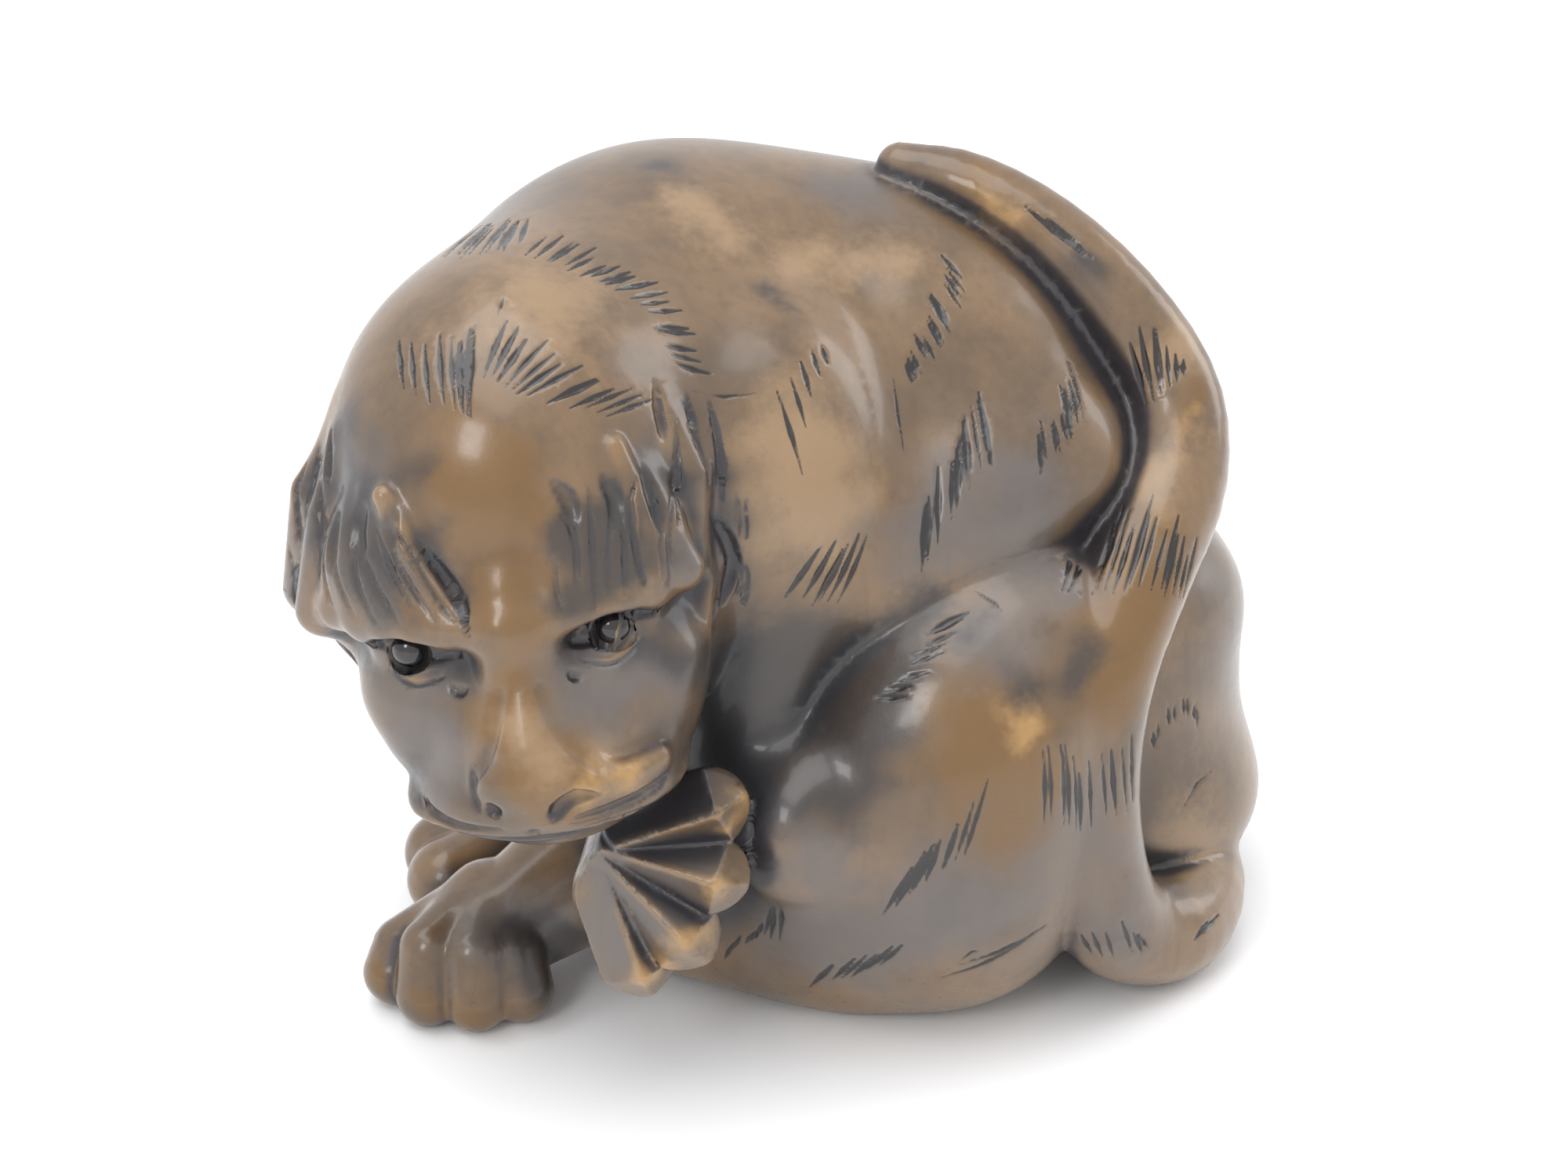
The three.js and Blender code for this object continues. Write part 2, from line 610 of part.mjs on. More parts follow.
function eyeSocket() {
  const { radius, depth, gap } = EYE;
  return new THREE.CylinderGeometry(radius + gap, radius + gap, depth + gap + 2, 16)
    .translate(0, (depth + gap - 2) / 2, 0);
}

// The two cord holes in the right flank, joined by a tunnel that curves inside the wood.
const TUNNEL = { steps: 12, sides: 12 };

function cordTunnel() {
  const { mouths, depth, radii } = CORD;
  const { steps, sides } = TUNNEL;
  const [a, b] = mouths.map((p) => new THREE.Vector3(...p));
  const bend = a.clone().add(b).multiplyScalar(0.5).add(new THREE.Vector3(0, -2 * depth, 0));
  const path = new THREE.QuadraticBezierCurve3(a, bend, b);
  const up = new THREE.Vector3(0, 0, 1);
  const points = [];
  for (let i = 0; i <= steps; i++) {
    const centre = path.getPoint(i / steps);
    const across = new THREE.Vector3().crossVectors(up, path.getTangent(i / steps)).normalize();
    const r = THREE.MathUtils.lerp(...radii, i / steps);
    for (let n = 0; n < sides; n++) {
      const turn = (2 * Math.PI * n) / sides;
      const onRing = centre.clone()
        .addScaledVector(across, r * Math.cos(turn))
        .addScaledVector(up, r * Math.sin(turn));
      points.push(...onRing);
    }
  }
  const last = points.length / 3;
  points.push(...path.getPoint(0), ...path.getPoint(1));
  const faces = [];
  for (let n = 0; n < sides; n++) {
    const m = (n + 1) % sides;
    for (let i = 0; i < steps; i++) {
      const [p, q] = [i * sides, (i + 1) * sides];
      faces.push(p + n, p + m, q + n);
      faces.push(p + m, q + m, q + n);
    }
    faces.push(last, m, n);
    faces.push(last + 1, steps * sides + n, steps * sides + m);
  }
  return solidOf(points, faces);
}

// ---------------------------------------------------------------- assembly
const care = (x, y, z) => Math.max(1, ...FINE_PLACES.map(({ at, reach, weight }) => (
  Math.hypot(x - at[0], y - at[1], z - at[2]) < reach ? weight : 1
)));

const rough = meshed(carveFigure(), GRID);
const thinned = new Thinner(rough, care).thinTo(BODY_FACES);
let body = solidOf(thinned.points, thinned.faces.flat());
body = body.subtract(solidFrom(groundCut())).subtract(cordTunnel());

const eyes = SIDES.map((side) => {
  const place = headFrame()
    .multiply(new THREE.Matrix4().makeTranslation(side * EYE.x, EYE.y, EYE.z))
    .multiply(new THREE.Matrix4().makeRotationZ(side * EYE.turn));
  body = body.subtract(solidFrom(eyeSocket().applyMatrix4(place)));
  const eye = new THREE.Mesh(eyePeg(EYE.radius, EYE.depth), horn);
  eye.name = side > 0 ? 'left_eye' : 'right_eye';
  eye.applyMatrix4(place);
  return eye;
});

const tiger = new THREE.Mesh(geometryOf(body), wood);
tiger.name = 'tiger_body';

const netsuke = new THREE.Group();
netsuke.add(tiger, ...eyes);
netsuke.position.set(-MIDDLE[0], -MIDDLE[1], 0);

export default netsuke;
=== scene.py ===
# %% [markdown]
# This is a netsuke, the toggle that kept a pouch from slipping off a kimono sash: a tiger
# carved from one block of boxwood, curled up with its head turned round to gnaw a forepaw.
# The imported solids already hold the pose and the main masses. Here the carver's fine work
# goes on: locks of fur, lids, lips, claws, the rows of cut strokes and the old stain, with
# painted shade and painted highlights on the wood.

# %% Load the imported frame
import json
import math

import bmesh
import bpy
import numpy as np
from mathutils import Euler, Matrix, Vector

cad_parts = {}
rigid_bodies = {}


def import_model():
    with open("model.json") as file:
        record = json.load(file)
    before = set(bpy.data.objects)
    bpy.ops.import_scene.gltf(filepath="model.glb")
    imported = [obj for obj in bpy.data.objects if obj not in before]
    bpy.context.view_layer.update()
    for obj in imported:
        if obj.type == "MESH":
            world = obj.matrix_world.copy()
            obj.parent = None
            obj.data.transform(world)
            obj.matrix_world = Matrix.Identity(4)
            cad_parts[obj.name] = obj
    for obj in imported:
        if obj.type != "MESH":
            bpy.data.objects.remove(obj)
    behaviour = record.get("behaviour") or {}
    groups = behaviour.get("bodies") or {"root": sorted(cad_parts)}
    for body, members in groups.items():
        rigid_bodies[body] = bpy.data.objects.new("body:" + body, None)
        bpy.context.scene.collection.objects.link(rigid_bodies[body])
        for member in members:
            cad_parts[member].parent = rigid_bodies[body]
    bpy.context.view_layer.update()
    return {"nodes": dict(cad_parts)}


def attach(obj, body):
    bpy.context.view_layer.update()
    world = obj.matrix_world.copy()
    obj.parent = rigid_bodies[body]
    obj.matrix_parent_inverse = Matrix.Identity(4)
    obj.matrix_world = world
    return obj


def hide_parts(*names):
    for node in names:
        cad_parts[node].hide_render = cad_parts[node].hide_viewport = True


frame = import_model()
MM = 0.001
print("nodes:", sorted(frame["nodes"]))

# %% [markdown]
# The camera stands in front of the tiger's left side and looks down on it a little, as one
# looks at a small carving on a table. A short telephoto lens keeps the head from swelling.
# It could be placed by hand, but an aim point, an elevation and a distance say more.

# %% Camera
AIM = Vector((-1.01, 0.78, 17.0)) * MM
ELEVATION = math.radians(25)
DISTANCE = 120 * MM

lens = bpy.data.cameras.new("camera")
lens.lens = 64.8
lens.sensor_width = 36
lens.clip_start = 2 * MM
lens.clip_end = 5
back = Vector((0, -math.cos(ELEVATION), math.sin(ELEVATION)))
camera = bpy.data.objects.new("camera", lens)
camera.location = AIM + back * DISTANCE
camera.rotation_euler = back.to_track_quat("Z", "Y").to_euler()
bpy.context.scene.collection.objects.link(camera)
bpy.context.scene.camera = camera
print("camera at", [round(v / MM) for v in camera.location], "mm")

# %% [markdown]
# A small glossy thing is lit by what it mirrors. A bright room all round gives the grey
# sheen of old polish, one big soft lamp above gives form, and a small window-like lamp
# leaves the glints on the forehead and the knee. The sheet below it is plain and pale.

# %% Lamps and floor
def lamp(name, place, aim, size, power):
    light = bpy.data.lights.new(name, "AREA")
    light.shape = "RECTANGLE"
    light.size, light.size_y = (v * MM for v in size)
    light.energy = power
    stand = bpy.data.objects.new(name, light)
    stand.location = Vector(place) * MM
    toward = stand.location - Vector(aim) * MM
    stand.rotation_euler = toward.to_track_quat("Z", "Y").to_euler()
    bpy.context.scene.collection.objects.link(stand)


def pale_floor(side):
    sheet = bmesh.new()
    bmesh.ops.create_grid(sheet, x_segments=1, y_segments=1, size=side / 2)
    mesh = bpy.data.meshes.new("floor")
    sheet.to_mesh(mesh)
    sheet.free()
    floor = bpy.data.objects.new("floor", mesh)
    bpy.context.scene.collection.objects.link(floor)
    paper = bpy.data.materials.new("pale_paper")
    paper.use_nodes = True
    shader = paper.node_tree.nodes["Principled BSDF"]
    shader.inputs["Base Color"].default_value = (0.97, 0.97, 0.97, 1)
    shader.inputs["Roughness"].default_value = 0.8
    mesh.materials.append(paper)


lamp("sky", (-40, -40, 220), (0, 0, 15), (220, 180), 0.3)
lamp("window", (-105, -190, 150), (0, 0, 15), (60, 80), 0.12)
lamp("rim", (150, 60, 90), (0, 0, 18), (60, 120), 0.06)
pale_floor(3.0)

room = bpy.data.worlds.new("room")
room.use_nodes = True
room.node_tree.nodes["Background"].inputs["Color"].default_value = (0.95, 0.97, 1.0, 1)
room.node_tree.nodes["Background"].inputs["Strength"].default_value = 1.0
bpy.context.scene.world = room
bpy.context.scene.view_settings.view_transform = "Standard"

# %% [markdown]
# The carved shape could be pushed about with a sculpting brush, but a script has no hand.
# It works instead with distances: each form knows how far any point lies from its surface,
# and a carving adds forms to the work or cuts them out of it, one after another, each
# melting into the rest over a small width. The mesh is then drawn onto that surface.

# %% Forms as distances, in millimetres
def length(rows):
    return np.sqrt(np.einsum("ij,ij->i", rows, rows))


class Form:
    """A ball that holds the form, and a function that gives the distance at rows of points."""

    def __init__(self, at, reach, distance):
        self.at = np.array(at, float)
        self.reach = reach
        self.distance = distance


def egg(at, radii, turn=(0, 0, 0)):
    turned = np.array(Euler([math.radians(v) for v in turn], "ZYX").to_matrix())
    size = np.array(radii, float)

    def distance(points):
        local = (points - at) @ turned / size
        whole = length(local)
        slope = np.maximum(length(local / size), 1e-9)
        return whole * (whole - 1) / slope

    return Form(at, max(radii), distance)


def limb(points):
    rods = np.array(points, float)
    low, high = rods[:, :3].min(0), rods[:, :3].max(0)
    reach = np.linalg.norm(high - low) / 2 + rods[:, 3].max()

    def distance(points):
        nearest = np.full(len(points), np.inf)
        for a, b in zip(rods[:-1], rods[1:]):
            along = b[:3] - a[:3]
            from_a = points - a[:3]
            t = np.clip(from_a @ along / (along @ along), 0, 1)
            gap = length(from_a - t[:, None] * along) - (a[3] + (b[3] - a[3]) * t)
            nearest = np.minimum(nearest, gap)
        return nearest

    return Form((low + high) / 2, reach, distance)


print("1 mm outside a ball:", egg([0, 0, 0], [2, 2, 2]).distance(np.array([[3.0, 0, 0]])).round(3))


# %% A smooth line through a few points
def smooth_line(points, steps):
    """A curve through the points that turns evenly, however far apart they are."""
    knots = [Vector(p) for p in points]
    knots = [2 * knots[0] - knots[1], *knots, 2 * knots[-1] - knots[-2]]
    line = []
    for n in range(steps + 1):
        at = n / steps * (len(points) - 1)
        i = min(int(at), len(points) - 2)
        p = knots[i:i + 4]
        times = [0.0]
        for a, b in zip(p, p[1:]):
            times.append(times[-1] + (b - a).length ** 0.5)
        t = times[1] + (at - i) * (times[2] - times[1])
        for span in (1, 2):
            p = [
                p[k].lerp(p[k + 1], (t - times[k]) / (times[k + span] - times[k]))
                for k in range(len(p) - 1)
            ]
        line.append(p[0].lerp(p[1], (t - times[1]) / (times[2] - times[1])))
    return line


print("points on a smooth line:", len(smooth_line([(0, 0, 0), (1, 0, 0), (1, 1, 0)], 8)))


# %% The block that the forms are added to and cut from
class Carving:
    def __init__(self):
        self.steps = []
        self.turn = np.eye(3)
        self.origin = np.zeros(3)

    def within(self, matrix):
        """The steps that follow are given in this frame."""
        self.turn = np.array(matrix.to_3x3())
        self.origin = np.array(matrix.translation)

    def step(self, form, blend, sign):
        turn, origin = self.turn, self.origin
        at = turn @ form.at + origin
        self.steps.append((at, form.reach, lambda p: form.distance((p - origin) @ turn), blend, sign))

    def add(self, form, blend):
        self.step(form, blend, 1)

    def cut(self, form, blend):
        self.step(form, blend, -1)

    def distance(self, points, cell=7):
        """The points are taken in cubes of space, so that most steps can be passed over."""
        cubes = np.floor(points / cell).astype(np.int64) @ (1_000_000, 1000, 1)
        order = np.argsort(cubes, kind="stable")
        groups = np.split(order, np.flatnonzero(np.diff(cubes[order])) + 1)
        found = np.empty(len(points))
        for group in groups:
            found[group] = self.near_distance(points[group])
        return found

    def near_distance(self, points):
        middle = points.mean(0)
        spread = length(points - middle).max()
        found = np.full(len(points), 1e3)
        for at, reach, distance, blend, sign in self.steps:
            if math.dist(at, middle) - reach - spread > (sign * found).max() + blend:
                continue
            near = length(points - at) - reach < sign * found + blend
            if not near.any():
                continue
            now = found[near]
            new = sign * distance(points[near])
            melt = np.maximum(0, blend - np.abs(now - new)) / blend
            soft = melt * melt * blend / 4
            found[near] = np.minimum(now, new) - soft if sign > 0 else np.maximum(now, new) + soft
        return found

    def slope(self, points, probe=0.02):
        """Which way is out, from four samples round each point."""
        corners = np.array([[1, -1, -1], [-1, -1, 1], [-1, 1, -1], [1, 1, 1]])
        total = sum(c * self.distance(points + probe * c)[:, None] for c in corners)
        return total / (4 * probe)

    def drawn(self, points, rounds=4, stride=0.25, close=0.002):
        """The points, those still off the surface moved along the slope until they lie on it."""
        points = points.copy()
        moving = np.arange(len(points))
        for _ in range(rounds):
            gap = self.distance(points[moving])
            off = np.abs(gap) > close
            moving, gap = moving[off], gap[off]
            if not len(moving):
                break
            slope = self.slope(points[moving])
            steep = np.maximum((slope**2).sum(1), 0.05)
            move = slope * (-gap / steep)[:, None]
            size = np.maximum(length(move), 1e-9)[:, None]
            points[moving] += move * np.minimum(1, stride / size)
        return points

    def furrow(self, points, width, blend=0.12):
        """A gouge cut that follows the surface and fades out at both ends."""
        line = np.array(smooth_line(points, 6)) @ self.turn.T + self.origin
        laid = (self.drawn(line, 8, 0.5) - self.origin) @ self.turn
        fade = [0.3, 0.8, 1, 1, 1, 0.8, 0.3]
        self.cut(limb([[*p, width * f] for p, f in zip(laid, fade)]), blend)


tiger = Carving()
print("steps in the empty block:", len(tiger.steps))

# %% [markdown]
# First come the masses of the body: the trunk bent over like a bow, the left shoulder, the
# two thighs and the forelegs. They repeat the solids' own dimensions, so that the fine
# mesh lies on the same surface. The places are in the carver's frame, in millimetres.

# %% Trunk, shoulder and thighs
MIDDLE = np.array([1.01, -0.78, 0])
SIDES = (-1, 1)


def carve_trunk():
    tiger.add(egg([1.5, 4, 19.5], [15.5, 11.5, 14.8]), 1)
    tiger.add(egg([-5.5, 3.5, 23.5], [9.5, 9.5, 11.5]), 4)
    tiger.add(egg([11, 5.5, 10.5], [9.5, 9, 11]), 3)
    tiger.add(egg([13, 4.5, 5.5], [8.6, 7.6, 5.6]), 2)
    tiger.add(egg([13.4, 5, 14.5], [6.8, 6.4, 4.2]), 1.5)
    tiger.add(egg([-2, 2, 9], [9, 8, 8.5]), 3)
    tiger.add(egg([-8, -1, 25], [7.2, 7.6, 7.3]), 4)
    tiger.add(egg([-6, 0, 28], [7.0, 6.6, 6.0]), 3)
    tiger.add(limb([[10.8, -2.6, 24.0, 2.8], [7.4, -4.2, 22.8, 3.4], [3.4, -5.4, 20.4, 3.3]]), 2.5)
    tiger.add(egg([-6, 10.6, 23.5], [6.2, 4.8, 8.6], [0, 14, 0]), 1.2)
    tiger.add(limb([[-6, 10, 18, 3.6], [-6.5, 7.5, 10, 3.2]]), 2)


def carve_shoulder():
    tiger.add(egg([-0.8, -3.6, 24], [5.8, 6.8, 8.2], [0, -6, 0]), 1.2)
    tiger.add(limb([[-0.4, -5.6, 20.5, 4.2], [-1.8, -6.4, 13.5, 3.4]]), 1.5)


def carve_haunches():
    tiger.add(egg([6.6, -5.0, 12.9], [7.4, 7.5, 9.9], [-12, 36, 0]), 0.4)
    tiger.add(egg([7.2, -4.2, 8.4], [6.4, 7.2, 7.8]), 2.5)
    tiger.add(egg([0.5, -9.2, 11.2], [3.0, 3.8, 3.5]), 1.6)
    tiger.add(egg([3.4, -4.0, 5.2], [8.2, 5.4, 5.6]), 3)
    tiger.add(limb([[2.6, -4.6, 3.2, 3.0], [-4.6, -4.4, 3.6, 2.6]]), 2)
    tiger.add(egg([7.0, 9.2, 12.2], [7.4, 7.4, 10.4], [14, 32, 0]), 0.5)
    tiger.add(egg([7.5, 8.6, 7.5], [8.4, 6.4, 7.6]), 2.5)
    tiger.add(egg([-0.6, 9.6, 9.4], [3.6, 3.8, 3.8]), 2)
    tiger.add(limb([[8, 9, 3.4, 3.4], [-4, 7.6, 3, 2.8], [-13, 4.4, 2.4, 2.2]]), 1.2)


carve_trunk()
carve_shoulder()
carve_haunches()
print("steps for the body:", len(tiger.steps))

# %% [markdown]
# Two paws rest on the ground and the third is held up to the mouth. A paw is a fan of
# tapered rods from one wrist, because toes part from each other by a crease, not a gap.

# %% Forelegs and paws
PAW_TOES = [
    ((-16.4, -4.9, 2.2), (-16.7, -5.6, 1.4)), ((-15.0, -6.6, 3.2), (-15.1, -7.3, 1.4)),
    ((-13.1, -7.0, 3.2), (-13.0, -7.7, 1.4)), ((-11.5, -6.4, 2.9), (-11.2, -7.0, 1.4)),
]
RAISED_TOES = [[-2.9, -12.9, 13.6], [-2.9, -13.6, 11.0], [-4.0, -14.0, 8.6], [-5.8, -13.6, 7.1]]
FAR_TOES = [[-15.2, 1.8], [-15.6, 4.2], [-14.6, 6.4]]


def wedge_toe(root, tip, radius):
    """A rod with flat cuts that bring it to a ridge along its back and to a blunt point."""
    rod = limb([[*root, radius], [*tip, radius]])
    along = (tip - root).normalized()
    facing = Vector((0.1, -1.0, 0.3))
    facing = (facing - along * facing.dot(along)).normalized()
    across = along.cross(facing)
    cuts = []
    for lean in (-1, 1):
        normal = (facing + across * lean * 0.9).normalized()
        cuts.append((np.array(tip + normal * radius * 0.66), np.array(normal)))
        normal = (along + facing * 0.5 + across * lean * 0.7).normalized()
        cuts.append((np.array(tip + normal * radius * 0.7), np.array(normal)))

    def distance(points):
        found = rod.distance(points)
        for at, normal in cuts:
            found = np.maximum(found, (points - at) @ normal)
        return found

    return Form(rod.at, rod.reach, distance)


def carve_forelegs():
    tiger.add(limb([[-2, 2, 8, 4], [-8.5, -2.2, 4.6, 3.2], [-12.2, -4.6, 3.0, 2.4]]), 1.2)
    for knuckle, tip in PAW_TOES:
        tiger.add(limb([[-12.8, -3.8, 3.7, 1.8], [*knuckle, 1.35], [*tip, 1.4]]), 0.35)
    tiger.add(limb([[-4, -3, 9, 3.6], [-6.1, -11.2, 8.8, 2.4]]), 1)
    for i, toe in enumerate(RAISED_TOES):
        root = Vector((-5.5 - 0.4 * i, -12.4, 12.4 - i))
        tiger.add(wedge_toe(root, Vector(toe), 1.6), 0.15)


def carve_far_foot():
    for x, y in FAR_TOES:
        tiger.add(limb([[-11, 4.6, 2.4, 1.8], [x, y, 1.6, 1.9]]), 0.35)


carve_forelegs()
carve_far_foot()
print("steps with the paws:", len(tiger.steps))

# %% [markdown]
# The head has a frame of its own: X to the tiger's left, Y back into the skull, Z to the
# crown. In that frame a feature and its twin on the other side differ only in a sign. The
# sockets, nostrils and mouth are a little finer here than in the solids.

# %% Head
HEAD = Matrix.Translation((-9.95, -6.9, 23.35)) @ Euler(
    [math.radians(v) for v in (10, -9, -4)], "XYZ"
).to_matrix().to_4x4()
EYE = Vector((3.9, -7.5, -0.5))
MUZZLE = 0.45


def carve_skull():
    tiger.add(egg([0.3, 0.5, 3.0], [7.4, 8.4, 7.7]), 3.5)
    tiger.add(egg([-0.3, -1.6, -1.6], [8.4, 5.6, 5.6], [0, 4, 0]), 1.5)
    tiger.add(egg([0.2, -3.2, -3.2], [6.3, 5.4, 5.2]), 1.5)
    tiger.add(egg([MUZZLE, -6.8, -4.8], [5.0, 4.4, 4.0]), 1.6)
    for side in SIDES:
        tiger.add(egg([side * 4.5, -5.2, -4.2], [1.9, 3.4, 3.2]), 1.2)
    tiger.add(egg([0.2, -6.8, -7.9], [3.8, 3.6, 1.3]), 0.8)


BROW_RIDGES = {
    -1: [(3.5, -6.5, 5.7), (2.7, -7.6, 3.8), (1.3, -8.5, 1.2)],
    1: [(5.0, -5.2, 5.8), (5.7, -6.4, 3.2), (5.8, -7.2, 1.3)],
}


def carve_brow(side):
    tiger.add(egg([side * 4.0, -6.2, 2.2], [3.0, 1.6, 3.0], [-20, side * -8, side * 20]), 1.4)
    for i in range(5):
        t = i / 4
        foot = [side * (2.0 + 4.6 * t), -8.2 + 2.4 * t**1.6, 0.9 - 0.3 * t]
        top = [side * (2.9 + 2.5 * t), -6.5 + 2.1 * t, 5.5 - 2.4 * abs(t - 0.35)]
        tiger.add(limb([[*foot, 0.85], [*top, 0.4]]), 0.6)
    tiger.add(limb([[side * x, y, z, 0.4] for x, y, z in BROW_RIDGES[side]]), 0.4)
    tiger.cut(limb([[side * 2.4, -7.4, 6.4, 0.3], [side * 1.1, -9.3, 1.9, 0.5]]), 0.9)


def carve_brow_ridge():
    """The lower edge of the brows runs on across the bridge of the nose."""
    tiger.add(limb([[-2.2, -8.1, 0.9, 0.8], [0.1, -8.8, 0.8, 0.8], [2.2, -8.1, 0.9, 0.8]]), 0.6)


EARS = {
    -1: [
        ([[5.6, -2.2, 5.6, 0.5], [6.7, -3.2, 3.0, 1.0], [7.7, -4.5, -0.2, 1.1]], 1.0),
        ([[5.6, -0.4, 6.0, 0.5], [7.5, -1.4, 3.0, 1.2], [8.6, -2.6, -0.4, 1.1]], 1.0),
        ([[7.6, -0.4, 1.5, 1.2], [7.2, -1.2, -3.0, 1.0], [5.4, -2.4, -6.4, 0.9]], 0.9),
    ],
    1: [
        ([[6.2, -2.2, 5.8, 0.5], [7.0, -3.2, 3.0, 0.9], [6.8, -4.1, 0.2, 0.6]], 0.5),
        ([[6.6, -0.4, 6.0, 0.5], [7.8, -1.2, 3.0, 1.0], [7.8, -2.0, -0.4, 0.7]], 0.5),
        ([[7.8, -0.4, 1.5, 1.2], [7.4, -1.2, -3.0, 1.3], [5.6, -2.4, -6.4, 0.9]], 0.7),
        ([[6.9, -4.2, 1.2, 0.4], [7.0, -4.1, -1.0, 0.4],
          [6.7, -5.0, -2.4, 0.4], [5.7, -7.6, -4.4, 0.3]], 0.4),
    ],
}


def carve_ear(side):
    for points, blend in EARS[side]:
        tiger.add(limb([[side * x, y, z, r] for x, y, z, r in points]), blend)


MOUTH = [
    (-4.6, -9.6, -7.0), (-3.2, -10.7, -7.1), (0.5, -11.6, -7.2), (3.4, -10.7, -7.5), (5.0, -9.0, -7.6),
]
LEFT_NOSTRIL = [(2.8, -11.7, -5.0), (2.1, -12.1, -4.8), (1.4, -12.3, -5.2), (1.0, -12.3, -5.9)]


def carve_muzzle():
    tiger.add(limb([[0.3, -7.4, 1.6, 1.5], [0.5, -8.9, -1.6, 1.5], [0.5, -9.9, -3.6, 1.9]]), 1.0)
    tiger.add(egg([0.6, -10.8, -4.4], [2.6, 1.5, 1.3], [20, 0, 0]), 0.4)
    tiger.add(egg([MUZZLE, -8.5, -5.8], [4.9, 3.5, 1.6]), 0.8)
    tiger.add(egg([0.1, -8.0, -6.7], [5.5, 3.6, 1.3]), 0.6)
    tiger.add(limb([[2.4, -11.4, -4.7, 0.5], [3.9, -10.6, -5.0, 0.5], [4.9, -9.5, -5.2, 0.35]]), 0.5)
    tiger.cut(egg([-1.2, -12.2, -5.2], [0.36, 0.8, 0.42]), 0.12)
    tiger.furrow(LEFT_NOSTRIL, 0.36, 0.15)
    tiger.furrow(MOUTH, 0.34, 0.4)


def carve_eye_socket(side):
    tiger.cut(egg([side * 4.1, -8.6, -0.3], [1.75, 1.5, 0.85], [0, side * 4, side * 14]), 0.3)
    tiger.add(egg([side * (EYE.x - 0.1), EYE.y + 0.8, EYE.z - 0.1], [1.7, 1.2, 1.05]), 0.25)
    tiger.add(egg([side * 3.8 + 0.2, -6.2, -2.9], [2.8, 2.6, 2.1]), 1.0)


tiger.within(HEAD)
carve_skull()
for side in SIDES:
    carve_brow(side)
    carve_ear(side)
carve_brow_ridge()
carve_muzzle()
for side in SIDES:
    carve_eye_socket(side)
tiger.within(Matrix())
print("steps with the head:", len(tiger.steps))

# %% [markdown]
# The tail is one long tapered rod. It comes out under the rump, sweeps up the left flank
# and lies over the back. A smooth curve through a few points gives its line.

# %% Tail
TAIL = [
    [13, 8, 4.5], [17.0, 5.0, 3.4], [18.2, 0.6, 2.4], [16.8, -3.4, 2.4], [14.5, -5.4, 3.6],
    [12.9, -7.2, 7], [12.2, -7.6, 12], [12.7, -7.2, 16.8], [14.3, -4.9, 20.1], [15.9, -2.4, 23.1],
    [15.9, -0.6, 25.9], [13.8, 0.6, 29.3], [10.6, 2, 32.2], [7.4, 3, 33.9], [4.8, 4, 34.3],
]


def tail_radius(t):
    return 2.5 - 0.4 * t - 1.1 * max(0, (t - 0.6) / 0.4) ** 1.5


tail_line = smooth_line(TAIL, 48)
tiger.add(limb([[*p, tail_radius(i / 48)] for i, p in enumerate(tail_line)]), 0.4)
print("tail length:", round(sum((b - a).length for a, b in zip(tail_line, tail_line[1:])), 1), "mm")

# %% [markdown]
# The masses are set, and the fine forms come next. On the face they are small gouge cuts:
# furrows that part the locks of the brows, slits at the corners of the eyes, folds behind
# the ears, whisker lines along the lip. Each is a thin tapered rod cut out of the wood.

# %% Fine forms of the face
BROW_CUTS = {
    -1: [
        (0.24, [(-2.4, -7.6, 4.3), (-1.5, -8.1, 2.4), (-0.8, -8.8, 0.9)]),
        (0.13, [(-3.1, -7.3, 4.7), (-2.3, -8.2, 3.0), (-1.5, -8.6, 1.2)]),
        (0.10, [(-3.4, -7.4, 3.8), (-2.9, -8.1, 2.6), (-2.2, -8.8, 1.5)]),
        (0.13, [(-4.0, -7.0, 4.6), (-3.6, -7.8, 3.2), (-3.0, -8.3, 1.9)]),
        (0.10, [(-4.5, -7.2, 3.4), (-4.3, -7.8, 2.5), (-3.7, -8.4, 1.4)]),
        (0.12, [(-5.2, -6.8, 4.0), (-5.1, -7.4, 2.4), (-4.6, -8.0, 1.2)]),
        (0.10, [(-5.9, -6.1, 3.3), (-5.9, -6.8, 2.3), (-5.5, -7.5, 1.2)]),
        (0.13, [(-6.5, -4.9, 4.6), (-6.7, -5.6, 2.8), (-6.4, -6.4, 1.2)]),
    ],
    1: [
        (0.09, [(2.5, -8.2, 3.2), (2.4, -8.5, 2.2), (2.5, -8.8, 1.2)]),
        (0.14, [(3.3, -7.4, 4.7), (3.3, -7.8, 3.2), (3.1, -8.3, 1.9)]),
        (0.13, [(4.0, -6.6, 5.0), (3.8, -7.6, 3.0), (3.7, -8.5, 1.1)]),
        (0.10, [(4.5, -7.0, 3.7), (4.3, -7.6, 2.6), (4.2, -8.2, 1.4)]),
        (0.14, [(5.0, -6.5, 3.6), (4.8, -7.2, 2.5), (4.8, -8.1, 1.2)]),
        (0.12, [(5.5, -5.8, 4.7), (5.3, -7.0, 3.0), (5.4, -7.6, 1.2)]),
        (0.10, [(6.0, -5.2, 4.0), (6.0, -6.6, 2.6), (5.9, -7.3, 1.3)]),
        (0.10, [(6.5, -4.5, 3.5), (6.5, -6.2, 2.6), (6.3, -6.8, 1.5)]),
    ],
}
BROW_SCOOPS = [
    [(3.1, -7.3, 5.8), (3.4, -7.3, 5.0), (3.4, -7.5, 4.3)],
    [(4.7, -6.4, 5.2), (4.9, -6.6, 4.4), (4.8, -7.1, 3.6)],
    [(6.0, -5.4, 4.6), (6.3, -6.1, 3.6), (6.3, -6.4, 2.8)],
]


def fine_brow(side):
    for scoop in BROW_SCOOPS:
        tiger.furrow([(side * x, y, z) for x, y, z in scoop], 0.26, 0.35)
    for width, cut in BROW_CUTS[side]:
        tiger.furrow(cut, width)


